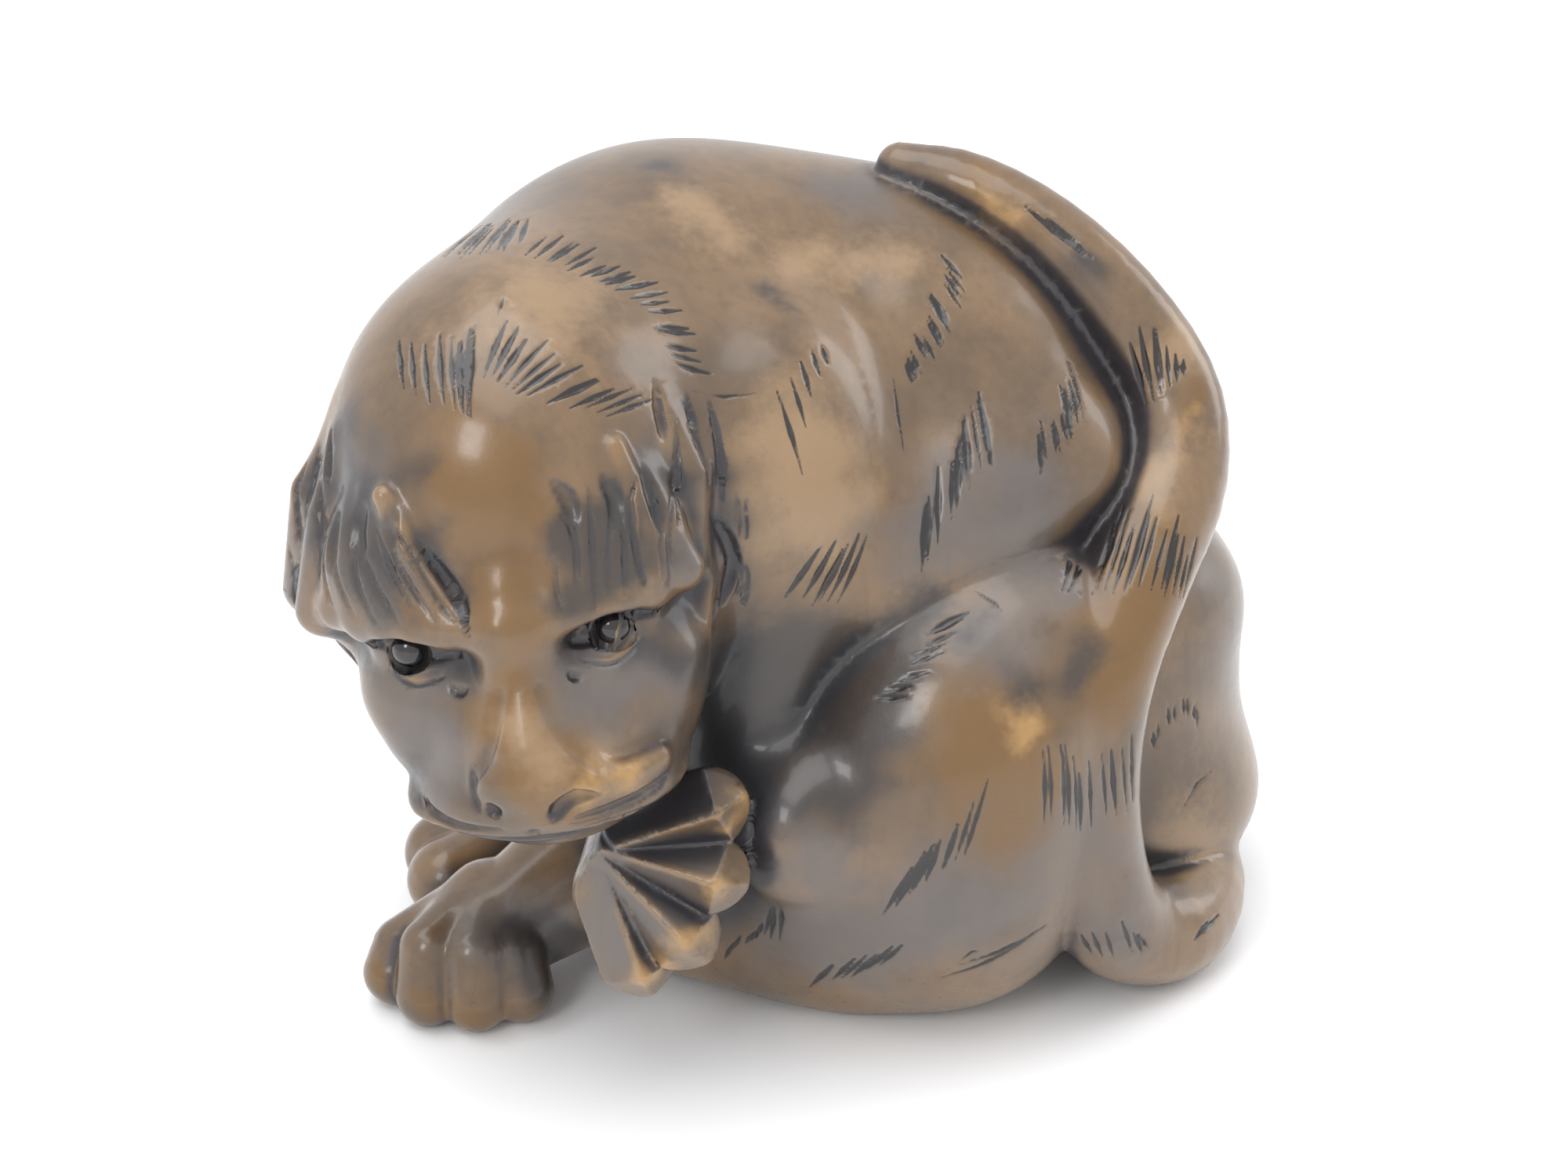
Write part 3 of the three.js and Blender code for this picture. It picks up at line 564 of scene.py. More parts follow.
EYE_CUTS = [
    (0.17, [(3.2, -8.0, -0.7), (2.5, -8.1, -0.6), (1.8, -7.8, -0.6)], 0.12),
    (0.14, [(4.6, -7.6, -0.3), (5.3, -7.0, 0.1), (5.8, -6.4, 0.3)], 0.12),
    (0.07, [(4.9, -7.9, -1.0), (3.8, -8.4, -1.5), (2.7, -8.4, -1.3)], 0.12),
    (0.13, [(2.4, -8.9, -1.5), (2.1, -8.9, -1.7), (1.8, -8.9, -1.7)], 0.25),
]


def fine_eye(side):
    tiger.cut(egg([side * EYE.x, EYE.y - 0.35, EYE.z], [0.9, 0.42, 0.9]), 0.08)
    for width, cut, blend in EYE_CUTS:
        tiger.furrow([(side * x, y, z) for x, y, z in cut], width, blend)


EAR_CUTS = [
    (0.22, [(6.5, -2.4, 6.6), (6.5, -3.1, 5.7), (6.6, -3.6, 4.9)]),
    (0.16, [(7.4, -1.7, 5.6), (7.6, -2.6, 4.3), (7.8, -3.5, 2.5)]),
    (0.12, [(7.0, -2.9, 5.2), (6.8, -3.9, 3.8), (6.7, -5.7, 2.4)]),
    (0.10, [(6.9, -3.4, 4.0), (6.9, -4.8, 2.6), (6.9, -5.4, 1.2)]),
    (0.14, [(8.1, -1.4, 4.9), (8.2, -2.2, 3.4), (8.1, -3.0, 1.7)]),
    (0.30, [(7.9, -3.7, 1.4), (8.1, -3.4, -0.8), (7.6, -4.2, -2.4)]),
    (0.26, [(7.6, -4.4, -2.2), (7.1, -5.2, -3.2), (6.5, -6.3, -4.2)]),
    (0.08, [(8.5, -2.4, 1.4), (8.5, -2.6, 0.8), (8.4, -2.8, 0.1)]),
    (0.08, [(8.7, -1.8, 1.0), (8.7, -2.0, 0.4), (8.6, -2.2, -0.4)]),
    (0.08, [(8.3, -2.6, -1.0), (8.1, -3.0, -1.8), (7.8, -3.4, -2.4)]),
    (0.08, [(8.4, -1.9, -1.4), (8.2, -2.3, -2.2), (7.8, -2.8, -3.0)]),
]


def fine_ear(side):
    for width, cut in EAR_CUTS:
        tiger.furrow([(side * x, y, z) for x, y, z in cut], width)


NOSE_CUTS = [
    (0.12, [(-0.2, -10.1, -1.3), (-0.8, -10.9, -2.8), (-1.8, -11.2, -4.2)], 0.6),
    (0.12, [(1.2, -10.0, -1.3), (1.7, -10.9, -2.8), (2.8, -11.2, -4.2)], 0.6),
    (0.13, [(-1.9, -11.0, -3.8), (-2.1, -11.3, -4.5), (-1.9, -11.6, -5.2)], 0.25),
    (0.20, [(1.9, -12.0, -5.9), (3.6, -10.9, -5.9), (4.9, -9.3, -5.9)], 0.2),
    (0.10, [(1.6, -12.0, -6.3), (3.2, -11.1, -6.3), (4.6, -9.8, -6.3)], 0.12),
    (0.12, [(2.2, -11.6, -6.6), (3.8, -10.5, -6.7), (5.0, -9.0, -6.7)], 0.12),
    (0.17, [(-1.2, -12.0, -6.2), (-3.0, -10.9, -6.3), (-4.6, -9.3, -6.1)], 0.15),
]


def fine_nose():
    for width, cut, blend in NOSE_CUTS:
        tiger.furrow(cut, width, blend)
    tiger.cut(egg([0.1, -12.2, -6.4], [0.3, 0.5, 0.25]), 0.15)


tiger.within(HEAD)
for side in SIDES:
    fine_brow(side)
    fine_eye(side)
    fine_ear(side)
fine_nose()
tiger.within(Matrix())
print("steps with the fine cuts of the face:", len(tiger.steps))

# %% [markdown]
# The underside is sawn flat so that the netsuke stands, and two holes for the cord meet in
# a tunnel inside the right flank. Both are cut last, as a carver would.

# %% Soles and cord holes
CORD_MOUTHS = [Vector((2, 19, 14.5)), Vector((12.5, 19, 11.5))]
CORD_DEPTH = 8
CORD_RADII = (1.9, 1.5)


def cord_tunnel():
    a, b = CORD_MOUTHS
    bend = (a + b) / 2 + Vector((0, -2 * CORD_DEPTH, 0))
    rods = []
    for n in range(13):
        t = n / 12
        middle = a.lerp(bend, t).lerp(bend.lerp(b, t), t)
        rods.append([*middle, CORD_RADII[0] + (CORD_RADII[1] - CORD_RADII[0]) * t])
    return limb(rods)


def ground():
    return Form((0, 0, 0), 60, lambda p: p[:, 2])


tiger.cut(cord_tunnel(), 0.15)
tiger.cut(ground(), 0.05)
print("steps in all:", len(tiger.steps))

# %% [markdown]
# The fine mesh starts as a merged copy of the solid. A voxel remesh makes it an even net
# of quads, and the net is drawn onto the carving in small steps along the slope. Where the
# carving is fine, the quads are split and drawn on again, so faces are spent only there.

# %% A net of quads over the solid
NET = 0.5


def merged_copy(nodes, name):
    work = bmesh.new()
    for node in nodes:
        work.from_mesh(frame["nodes"][node].data)
    bmesh.ops.remove_doubles(work, verts=work.verts, dist=0.001 * MM)
    mesh = bpy.data.meshes.new(name)
    work.to_mesh(mesh)
    work.free()
    piece = bpy.data.objects.new(name, mesh)
    bpy.context.scene.collection.objects.link(piece)
    return piece


def even_net(piece, size):
    net = piece.modifiers.new("net", "REMESH")
    net.mode = "VOXEL"
    net.voxel_size = size * MM
    finished = piece.evaluated_get(bpy.context.evaluated_depsgraph_get())
    made = bpy.data.meshes.new_from_object(finished)
    piece.modifiers.clear()
    piece.data = made
    made.name = piece.name


carved_tiger = merged_copy(["tiger_body", "left_eye", "right_eye"], "carved_tiger")
even_net(carved_tiger, NET)
print("quads in the net:", len(carved_tiger.data.polygons))


# %% Drawing the net onto the carving
def places(mesh):
    flat = np.empty(len(mesh.vertices) * 3, np.float32)
    mesh.vertices.foreach_get("co", flat)
    return flat.reshape(-1, 3).astype(float) / MM + MIDDLE


def put(mesh, points):
    mesh.vertices.foreach_set("co", ((points - MIDDLE) * MM).astype(np.float32).ravel())
    mesh.update()


def settle(mesh, passes):
    """Draws the net on and evens it out by turns, so that its quads stay well shaped."""
    for _ in range(passes):
        put(mesh, tiger.drawn(places(mesh), 2))
        work = bmesh.new()
        work.from_mesh(mesh)
        bmesh.ops.smooth_vert(
            work, verts=work.verts, factor=0.5, use_axis_x=True, use_axis_y=True, use_axis_z=True
        )
        work.to_mesh(mesh)
        work.free()
    put(mesh, tiger.drawn(places(mesh), 3))


def split_near(mesh, wanted):
    """Halves every edge whose middle is wanted."""
    work = bmesh.new()
    work.from_mesh(mesh)
    middles = np.array([(e.verts[0].co + e.verts[1].co) / 2 for e in work.edges]) / MM + MIDDLE
    edges = [e for e, keep in zip(work.edges[:], wanted(middles)) if keep]
    bmesh.ops.subdivide_edges(work, edges=edges, cuts=1, use_grid_fill=True)
    many = [f for f in work.faces if len(f.verts) > 4]
    bmesh.ops.triangulate(work, faces=many)
    work.to_mesh(mesh)
    work.free()


settle(carved_tiger.data, 2)
print("largest gap left in mm:", round(float(np.abs(tiger.distance(places(carved_tiger.data))).max()), 3))


# %% Finer quads where the carving is fine
FINE_PLACES = [
    ((-10.5, -14.5, 24.5), 7.0), ((-8.5, -17.0, 18.0), 4.5), ((-3.2, -10.5, 25.0), 4.2),
    ((-4.2, -14, 10.2), 4.6), ((-14.3, -7.3, 2), 3.4),
]


def inside_balls(balls):
    return lambda points: np.any([length(points - at) < reach for at, reach in balls], axis=0)


def floating(limit):
    """Picks the places that float off the carving by more than the limit."""
    return lambda points: np.abs(tiger.distance(points)) > limit


def triangles(mesh):
    return sum(len(polygon.vertices) - 2 for polygon in mesh.polygons)


for wanted in (floating(0.02), inside_balls(FINE_PLACES), floating(0.01)):
    split_near(carved_tiger.data, wanted)
    settle(carved_tiger.data, 0)
print("triangles on the tiger:", triangles(carved_tiger.data))

# %% [markdown]
# The fur is told in rows of short strokes, each cut with one push of a knife and inked
# near black. A row lies between two guide lines on the surface, and its strokes run from
# one line to the other. They taper at both ends and vary a little, as handwork does.

# %% Rows of strokes: guide line of the heads, guide line of the tails, count
FUR_ROWS = [
    # crown, either side of the parting, and the lower row on the forehead
    ([[-12.3, -1.4, 33.3], [-11.1, -2.4, 34.0], [-10.1, -3.3, 34.3]],
     [[-13.2, -5.2, 33.4], [-11.9, -6.6, 33.9], [-10.2, -6.3, 34.2]], 11),
    ([[-8.8, -4.9, 34.3], [-6.6, -6.4, 33.6], [-4.4, -6.9, 32.4], [-2.8, -8.9, 30.0]],
     [[-9.7, -7.3, 34.1], [-7.7, -7.9, 33.6], [-5.5, -8.0, 32.6], [-4.1, -9.4, 30.6]], 20),
    ([[-14.1, -10.9, 31.7], [-12.2, -11.4, 32.5], [-11.2, -11.6, 32.6]],
     [[-13.8, -12.5, 30.7], [-11.9, -13.6, 30.5], [-11.2, -13.9, 30.4]], 9),
    ([[-10.2, -11.1, 32.9], [-7.4, -12.2, 31.5], [-5.1, -11.4, 29.9]],
     [[-10.9, -13.0, 31.5], [-9.1, -13.4, 30.9], [-6.5, -12.9, 29.9]], 13),
    # back and shoulder
    ([[-0.2, -8.8, 29.2], [0.7, -7.5, 30.2], [1.4, -6.6, 30.4]],
     [[0.7, -9.8, 26.4], [1.1, -8.3, 29.0], [1.7, -7.2, 29.7]], 5),
    ([[4.6, -4.6, 28.9], [5.8, -3.1, 30.4], [6.5, -0.9, 32.0]],
     [[5.0, -5.1, 28.1], [6.4, -3.7, 29.4], [7.3, -1.5, 31.2]], 13),
    ([[7.6, -4.5, 27.9], [6.8, -6.2, 26.2], [5.5, -7.5, 24.2]],
     [[8.1, -6.6, 25.5], [6.9, -7.5, 24.2], [5.4, -8.4, 21.6]], 12),
    ([[11.4, -2.2, 28.0], [10.8, -4.3, 26.7], [9.8, -5.4, 26.1]],
     [[11.8, -4.4, 26.2], [11.1, -5.1, 25.7], [9.9, -6.3, 24.8]], 11),
    ([[1.1, -10.0, 23.2], [3.3, -8.6, 23.3]], [[-0.1, -10.3, 21.4], [2.1, -9.5, 20.7]], 7),
    # left thigh and foreleg
    ([[7.3, -8.9, 20.2], [6.3, -10.0, 19.0], [4.6, -10.8, 17.3]],
     [[5.8, -9.2, 19.6], [5.1, -10.1, 18.5], [3.5, -10.4, 17.0]], 8),
    ([[5.2, -12.5, 11.0], [6.3, -12.6, 12.2], [8.0, -12.3, 13.9]],
     [[4.0, -11.9, 8.2], [5.7, -12.5, 10.0], [7.3, -12.5, 11.3]], 11),
    ([[1.9, -9.9, 4.5], [4.8, -11.4, 6.4]], [[1.0, -8.8, 2.7], [3.9, -10.7, 4.9]], 8),
    ([[10.7, -10.1, 6.5], [9.9, -10.5, 6.2]], [[7.6, -11.2, 5.4], [6.2, -10.7, 4.3]], 4),
    ([[-1.9, -8.3, 4.5], [-1.0, -8.9, 5.7], [-0.3, -10.7, 8.0]],
     [[-2.3, -7.9, 3.4], [-1.3, -8.7, 5.0], [-0.2, -9.2, 5.2]], 8),
    # rings of the tail
    ([[10.1, 0.8, 33.2], [10.8, 0.7, 33.1]], [[12.0, -0.1, 31.8], [12.5, -0.1, 31.7]], 3),
    ([[13.9, -1.5, 28.7], [14.9, -1.5, 28.9], [16.0, -1.6, 28.0]],
     [[14.5, -2.4, 26.1], [15.2, -2.5, 26.7], [16.0, -2.0, 27.4]], 8),
    ([[12.2, -5.1, 22.4], [14.8, -5.4, 22.9], [16.2, -5.5, 21.6]],
     [[10.9, -7.8, 20.5], [13.8, -7.5, 20.5], [15.7, -6.5, 19.6]], 15),
    ([[10.1, -11.4, 15.4], [11.7, -10.6, 14.4], [13.8, -9.3, 14.6]],
     [[10.3, -11.6, 12.1], [12.0, -10.2, 11.2], [14.1, -9.0, 11.5]], 11),
    ([[12.2, -8.9, 5.4], [13.6, -9.2, 5.7], [14.8, -8.5, 5.1]],
     [[12.8, -8.4, 4.1], [14.1, -8.4, 3.9], [15.4, -7.9, 4.0]], 6),
    ([[18.9, -4.6, 3.6], [18.3, -5.3, 3.7]], [[18.0, -5.7, 3.4], [17.6, -6.1, 3.3]], 4),
    ([[15.7, -2.4, 11.3], [16.9, -1.6, 12.3], [18.1, -0.8, 11.6]],
     [[15.9, -2.6, 10.6], [17.1, -1.8, 11.6], [18.3, -1.0, 10.9]], 8),
    # right side and rump
    ([[-12, 10.5, 28], [-9, 13, 28.5], [-5, 14.5, 28.5]],
     [[-11.5, 12, 25.5], [-8.5, 14.5, 25.5], [-4.8, 15.5, 26]], 12),
    ([[-3.5, 10, 32.5], [1, 11, 32.5], [5, 11, 31.5]],
     [[-3, 12, 31], [1.4, 13, 30.8], [5.6, 12.8, 29.8]], 13),
    ([[2, 14.6, 27], [5, 14.6, 26.5], [8.5, 13.6, 25.5]],
     [[2.6, 15.4, 24.6], [5.6, 15.2, 24], [9, 14, 23.2]], 11),
    ([[10.5, 8.5, 30], [12.5, 7, 28.5], [14.5, 5, 27]],
     [[11.8, 9.5, 28], [13.8, 8, 26.5], [15.6, 6, 25]], 10),
    ([[14.5, 11, 18.5], [16.5, 9, 17], [18, 6.5, 16]],
     [[15.2, 11.5, 16.2], [17.2, 9.4, 14.8], [18.6, 6.8, 13.8]], 10),
    ([[3, 16, 17.5], [6, 17, 18], [9, 16.5, 17.5]],
     [[4, 16.5, 15.4], [7, 17.3, 15.8], [10, 16.4, 15.2]], 8),
    ([[0, 14.5, 8], [3, 15.5, 7], [7, 15.8, 6]],
     [[1.2, 14.6, 6.4], [4.2, 15.2, 5.2], [8, 15.4, 4.2]], 9),
    ([[-10, 9.5, 18], [-9.5, 10.2, 16], [-9, 10.4, 14]],
     [[-8, 11.5, 17.5], [-7.6, 11.8, 15.5], [-7.2, 11.6, 13.5]], 7),
]
LONE_CUTS = [
    [[4.3, -5.1, 28.5], [4.5, -5.9, 27.2], [4.7, -6.6, 25.9]],
    [[-9.9, -7.6, 34.1], [-10.4, -10.4, 33.3], [-10.9, -12.9, 31.6]],
    [[-3.4, -9.7, 29.7], [-2.2, -9.3, 29.3], [-1.0, -8.9, 29.3]],
    [[7.1, -8.0, 20.9], [8.3, -8.7, 20.4], [9.5, -10.0, 19.0]],
    [[17.3, -2.0, 7.3], [18.0, -1.3, 8.2], [18.9, -0.5, 8.5]],
    [[5.7, -10.4, 3.9], [7.6, -11.3, 6.0], [10.7, -10.1, 6.5]],
]


print("rows:", len(FUR_ROWS), "lone cuts:", len(LONE_CUTS))


# %% Strokes laid on the surface
STROKE_WIDTH = 0.13
STROKE_DEPTH = 0.12
STROKE_TAPER = (0.4, 1, 0.25)
hand = np.random.default_rng(11)


def rows_of_strokes():
    lines = []
    for heads, tails, count in FUR_ROWS:
        for a, b in zip(smooth_line(heads, count - 1), smooth_line(tails, count - 1)):
            shift = hand.normal(0, 0.09, 3)
            reach = hand.normal(0, 0.1)
            a = np.array(a) + shift + (np.array(a) - np.array(b)) * reach
            b = np.array(b) + shift
            lines.append(([a, (a + b) / 2, b], hand.uniform(0.75, 1.25)))
    lines += [(np.array(cut), 0.6) for cut in LONE_CUTS]
    guides = np.array([line for line, _ in lines], float)
    laid = tiger.drawn(guides.reshape(-1, 3), 8, 0.5).reshape(-1, 3, 3)
    return [
        limb([[*p, share * STROKE_WIDTH * wide] for p, share in zip(points, STROKE_TAPER)])
        for points, (_, wide) in zip(laid, lines)
    ]


strokes = rows_of_strokes()


def stroke_depth(points, margin=0.0):
    """How far points lie inside the nearest stroke, grown by a margin; nought outside."""
    inside = np.zeros(len(points))
    for stroke in strokes:
        near = length(points - stroke.at) < stroke.reach + margin
        inside[near] = np.maximum(inside[near], margin - stroke.distance(points[near]))
    return inside


print("strokes:", len(strokes))


# %% Cutting the strokes
for margin in (0.34, 0.16):
    split_near(carved_tiger.data, lambda points: stroke_depth(points, margin) > 0)
settle(carved_tiger.data, 0)


def inked(mesh):
    """Sinks the strokes into the wood and gives back how deep in a stroke each vertex lies."""
    points = places(mesh)
    depth = stroke_depth(points, 0.3) - 0.3
    slope = tiger.slope(points)
    outward = slope / np.maximum(length(slope), 1e-6)[:, None]
    share = np.clip(depth / STROKE_WIDTH, 0, 1)
    put(mesh, points - outward * (STROKE_DEPTH * share**0.7)[:, None])
    return depth, outward


ink, outward = inked(carved_tiger.data)
print("triangles on the tiger:", triangles(carved_tiger.data), "inked vertices:", int((ink > 0).sum()))

# %% [markdown]
# Age has coloured the wood by touch: stain stayed in the hollows and hands rubbed the high
# places bright. Light is painted on too: painted shade darkens the hollows along with the
# stain, and spots of painted highlight, glint, grey sheen and shade lie where light falls.
# The carving itself tells where the hollows and edges are. From each vertex the script
# looks outwards a few times and sees how near the next wood is, and looks inwards to find
# thin edges. Both are kept as attributes.

# %% Where the colours lie: places and the reach of each spot, in millimetres
OCHRE_PLACES = [
    # head
    (-11.3, -14.8, 28.6, 2.6), (-10.2, -15.0, 26.8, 2.6), (-9.8, -15.7, 24.2, 2.0),
    (-9.4, -16.9, 20.7, 1.1), (-9.7, -17.4, 19.4, 1.8), (-9.2, -17.8, 18.2, 2.0),
    (-8.0, -18.2, 17.4, 1.8), (-13.8, -15.3, 22.9, 1.0), (-3.6, -13.4, 23.4, 1.6),
    (-5.0, -15.3, 16.9, 1.0),
    # paws
    (-17.4, -6.9, 1.2, 0.9), (-13.1, -9.0, 1.4, 1.1), (-14.9, -8.6, 1.4, 1.1), (-2.0, -9.8, 9.0, 1.3),
    # left thigh
    (8.8, -11.2, 17.2, 2.4), (7.6, -12.3, 14.3, 2.8), (9.4, -11.6, 12.4, 2.6), (2.5, -8.0, 1.2, 2.4),
    # back, shoulder and tail
    (7.9, 1.6, 33.9, 1.5), (9.8, 0.6, 32.6, 1.5), (13.6, -7.9, 20.0, 2.2), (14.6, -7.4, 19.2, 1.8),
    (13.3, -9.4, 16.9, 1.7), (16.5, -2.6, 26.4, 1.4), (15.0, -5.4, 23.4, 1.2), (4.8, 1.9, 33.7, 0.9),
    (2.4, -9.1, 25.5, 1.8),
    # right side and rump
    (12, 12, 22, 3.5), (-4, 14, 20, 3.0), (8, 16, 12, 3.0), (18, 4, 12, 2.6),
]
# Paler spots: rubbed wear, and painted highlight where the light falls on the crown, the back, the tail
# and the claws.
PALE_WEAR_AND_HIGHLIGHT_PLACES = [
    # head
    (-9.3, -17.6, 18.9, 1.4), (-6.4, -16.9, 18.1, 1.2), (-4.1, -11.5, 28.5, 1.0),
    # paws
    (-1.8, -14.1, 13.6, 0.9), (-2.1, -14.9, 11.0, 0.9), (-3.7, -15.4, 8.4, 0.9),
    (-5.7, -15.0, 6.7, 0.9),
    # back, shoulder and tail
    (-8.7, -9.8, 33.4, 3.0), (0.6, -9.4, 27.6, 2.6), (1.5, -9.8, 24.5, 2.4), (-4.0, -1.2, 34.7, 1.4),
    (-2.6, -2.6, 33.6, 1.3), (0.9, -2.6, 32.2, 1.5), (15.1, -4.3, 24.2, 1.4), (9.2, -8.7, 20.4, 1.8),
    (15.8, -1.1, 28.7, 1.8), (4.0, -1.6, 32.2, 1.6), (17.4, -1.8, 5.2, 2.6),
    # right side and rump
    (0, 14, 30, 4.0), (10, 12, 27, 3.5), (6, 16.5, 15, 3.0),
]
# Grey spots of painted sheen and painted shade: the reflection of the bright room on the polish, and the
# shade on the lower thigh and beside the tail.
GREY_SHEEN_AND_SHADE_PLACES = [
    # head
    (-14.8, -13.6, 20.5, 3.0), (-12.9, -15.4, 17.4, 2.4), (-7.2, -16.2, 20.6, 2.0),
    (-5.2, -15.3, 20.3, 1.8), (-15.9, -13.0, 26.6, 2.6), (-4.0, -14.1, 24.5, 1.2),
    (-17.5, -8.9, 22.1, 2.5),
    # paws
    (-12.6, -6.6, 4.3, 2.2), (-7.1, -13.9, 8.5, 2.0), (-6.7, -13.4, 11.4, 1.8), (-8.5, -7.5, 5.5, 3.0),
    (-4.4, -14.2, 10.2, 2.8),
    # left thigh
    (1.0, -12.6, 11.0, 2.0), (3.4, -11.4, 6.4, 3.0), (7.6, -13.6, 8.4, 4.4), (8.6, -10.4, 20.0, 2.6),
    (0.0, -10.0, 5.0, 2.6),
    # back, shoulder and tail
    (10.2, -7.6, 20.9, 1.6), (3.2, 1.9, 34.0, 2.4), (9.0, -6.8, 24.4, 3.0), (5.2, -8.0, 23.0, 2.2),
    (13.5, -11.0, 11.0, 3.2), (13.6, -10.0, 5.0, 2.6), (14.4, -4.6, 27.6, 2.2),
    # right side and rump
    (16.5, 2, 20, 3.0), (-12, 8, 26, 3.5), (18.0, 2.5, 14.0, 3.0),
]
# Gold spots: rubbed claws and edges, with painted glints.
GOLD_WEAR_AND_GLINT_PLACES = [
    # head
    (-5.4, -16.7, 16.9, 0.9), (-7.4, -18.0, 17.2, 1.1),
    # paws
    (-1.7, -13.6, 13.9, 1.2), (-2.0, -14.7, 11.6, 1.2), (-3.3, -15.3, 9.2, 1.2),
    (-4.9, -15.0, 6.9, 1.2),
    # left thigh
    (9.4, -11.0, 16.6, 1.2),
    # back, shoulder and tail
    (9.0, 1.0, 33.6, 1.3), (16.3, -3.4, 25.4, 0.9),
]
# Dark spots: mostly painted shade in the creases, under the chin, on the thigh and on the hidden side of
# the paw, and a few small dark marks on the back.
SHADE_AND_DARK_MARK_PLACES = [
    # head
    (-14.9, -14.0, 24.5, 2.4), (-6.2, -14.6, 25.6, 2.0), (-16.8, -12.0, 25.6, 2.4),
    (-12.9, -15.0, 25.8, 1.0), (-7.6, -14.8, 26.6, 1.0), (-6.4, -15.4, 24.6, 1.5),
    (-5.0, -15.0, 21.0, 1.4), (-3.4, -13.8, 20.4, 1.2), (-2.6, -12.2, 18.6, 1.6),
    (-16.8, -10.3, 28.0, 1.8), (-13.4, -13.4, 28.6, 1.0), (-17.8, -10.6, 25.5, 1.8),
    (-4.6, -12.2, 27.4, 1.6), (-2.6, -11.2, 24.2, 1.4),
    # paws
    (-11.2, -7.4, 3.0, 1.8), (-9.6, -6.6, 2.2, 1.8), (-1.9, -10.2, 13.9, 2.4), (-9.8, -6.0, 3.0, 1.8),
    # left thigh
    (5.4, -9.4, 19.6, 1.6), (9.9, -10.2, 17.6, 1.2), (10.4, -10.4, 14.6, 1.1), (8.2, -9.6, 19.4, 1.0),
    (0.4, -9.8, 19.0, 2.2), (-1.2, -9.8, 16.4, 2.4), (0.4, -11.6, 14.4, 2.2), (2.4, -11.6, 15.0, 2.2),
    (2.2, -9.0, 17.2, 2.4), (4.2, -10.4, 17.6, 1.8),
    # back, shoulder and tail
    (-4.7, 1.1, 35.2, 0.9), (-0.3, -5.6, 31.6, 0.9), (-2.1, -4.6, 32.5, 0.4), (2.3, -3.4, 31.2, 0.4),
    (3.2, -3.1, 31.0, 0.4), (12.0, -0.9, 31.0, 1.0), (11.8, -9.0, 17.5, 1.3), (-2.2, -10.6, 26.4, 1.2),
    (17.2, -4.4, 5.4, 1.6),
]
COLOUR_PLACES = {
    "ochre": OCHRE_PLACES, "pale": PALE_WEAR_AND_HIGHLIGHT_PLACES, "grey_sheen_and_shade": GREY_SHEEN_AND_SHADE_PLACES, "gold": GOLD_WEAR_AND_GLINT_PLACES,
    "dark": SHADE_AND_DARK_MARK_PLACES,
}
print("spots of each colour:", {name: len(spots) for name, spots in COLOUR_PLACES.items()})


# %% What the surface remembers
def wandered(points):
    """The places shifted by slow waves, so that a round spot takes on an uneven shape."""
    long_waves = np.sin(points[:, [1, 2, 0]] * 1.1 + [0.3, 1.7, 4.1])
    short_waves = np.sin(points[:, [2, 0, 1]] * 2.9 + [2.0, 0.6, 5.2])
    return points + long_waves * 0.45 + short_waves * 0.3


def spread(points, spots):
    """One at the heart of a spot, fading outwards; spots that overlap run into each other."""
    found = np.zeros(len(points))
    points = wandered(points)
    for *at, radius in spots:
        found += np.exp(-(((points - at) / radius) ** 2).sum(1))
    return np.minimum(found, 1.2)


# This measure paints shade as well as stain: the shader darkens the wood where it is high.
def hollow(points, outward):
    """How much wood stands round a point, looking out to four distances."""
    found = np.zeros(len(points))
    for reach, weight in ((0.4, 0.25), (1.2, 0.35), (2.6, 0.25), (5.5, 0.15)):
        free = tiger.distance(points + outward * reach) / reach
        found += weight * np.clip(1 - free, 0, 1)
    return found


def ridge(points, outward, reach=0.7):
    """How thin the wood is behind a point, which shows the edges that hands rub."""
    return np.clip(1 + tiger.distance(points - outward * reach) / reach, 0, 1)


def remember(mesh, name, values):
    mesh.attributes.new(name, "FLOAT", "POINT").data.foreach_set("value", values.astype(np.float32))
    print(name, "from", round(float(values.min()), 2), "to", round(float(values.max()), 2))


surface = places(carved_tiger.data)
remember(carved_tiger.data, "ink", ink)
remember(carved_tiger.data, "hollow", hollow(surface, outward))
remember(carved_tiger.data, "ridge", ridge(surface, outward))
for name, spots in COLOUR_PLACES.items():
    remember(carved_tiger.data, name, spread(surface, spots))

# %% [markdown]
# A finish is a small calculation on every point of the surface. Blender draws it as nodes
# and links, which soon tangle. A class that wraps a socket lets it be written as plain
# sums instead, and each sum adds its own node behind the scenes.

# %% Shader sums
class Wire:
    def __init__(self, finish, socket):
        self.finish = finish
        self.socket = socket

    def maths(self, operation, a, b):
        return self.finish.node("ShaderNodeMath", {"operation": operation}, {0: a, 1: b})

    def __add__(self, other):
        return self.maths("ADD", self, other)

    def __sub__(self, other):
        return self.maths("SUBTRACT", self, other)

    def __rsub__(self, other):
        return self.maths("SUBTRACT", other, self)

    def __mul__(self, other):
        return self.maths("MULTIPLY", self, other)

    __radd__ = __add__

    def between(self, low, high):
        """Nought below low, one above high, and a soft rise from one to the other."""
        return self.finish.node(
            "ShaderNodeMapRange", {"interpolation_type": "SMOOTHSTEP"}, {0: self, 1: low, 2: high}
        )


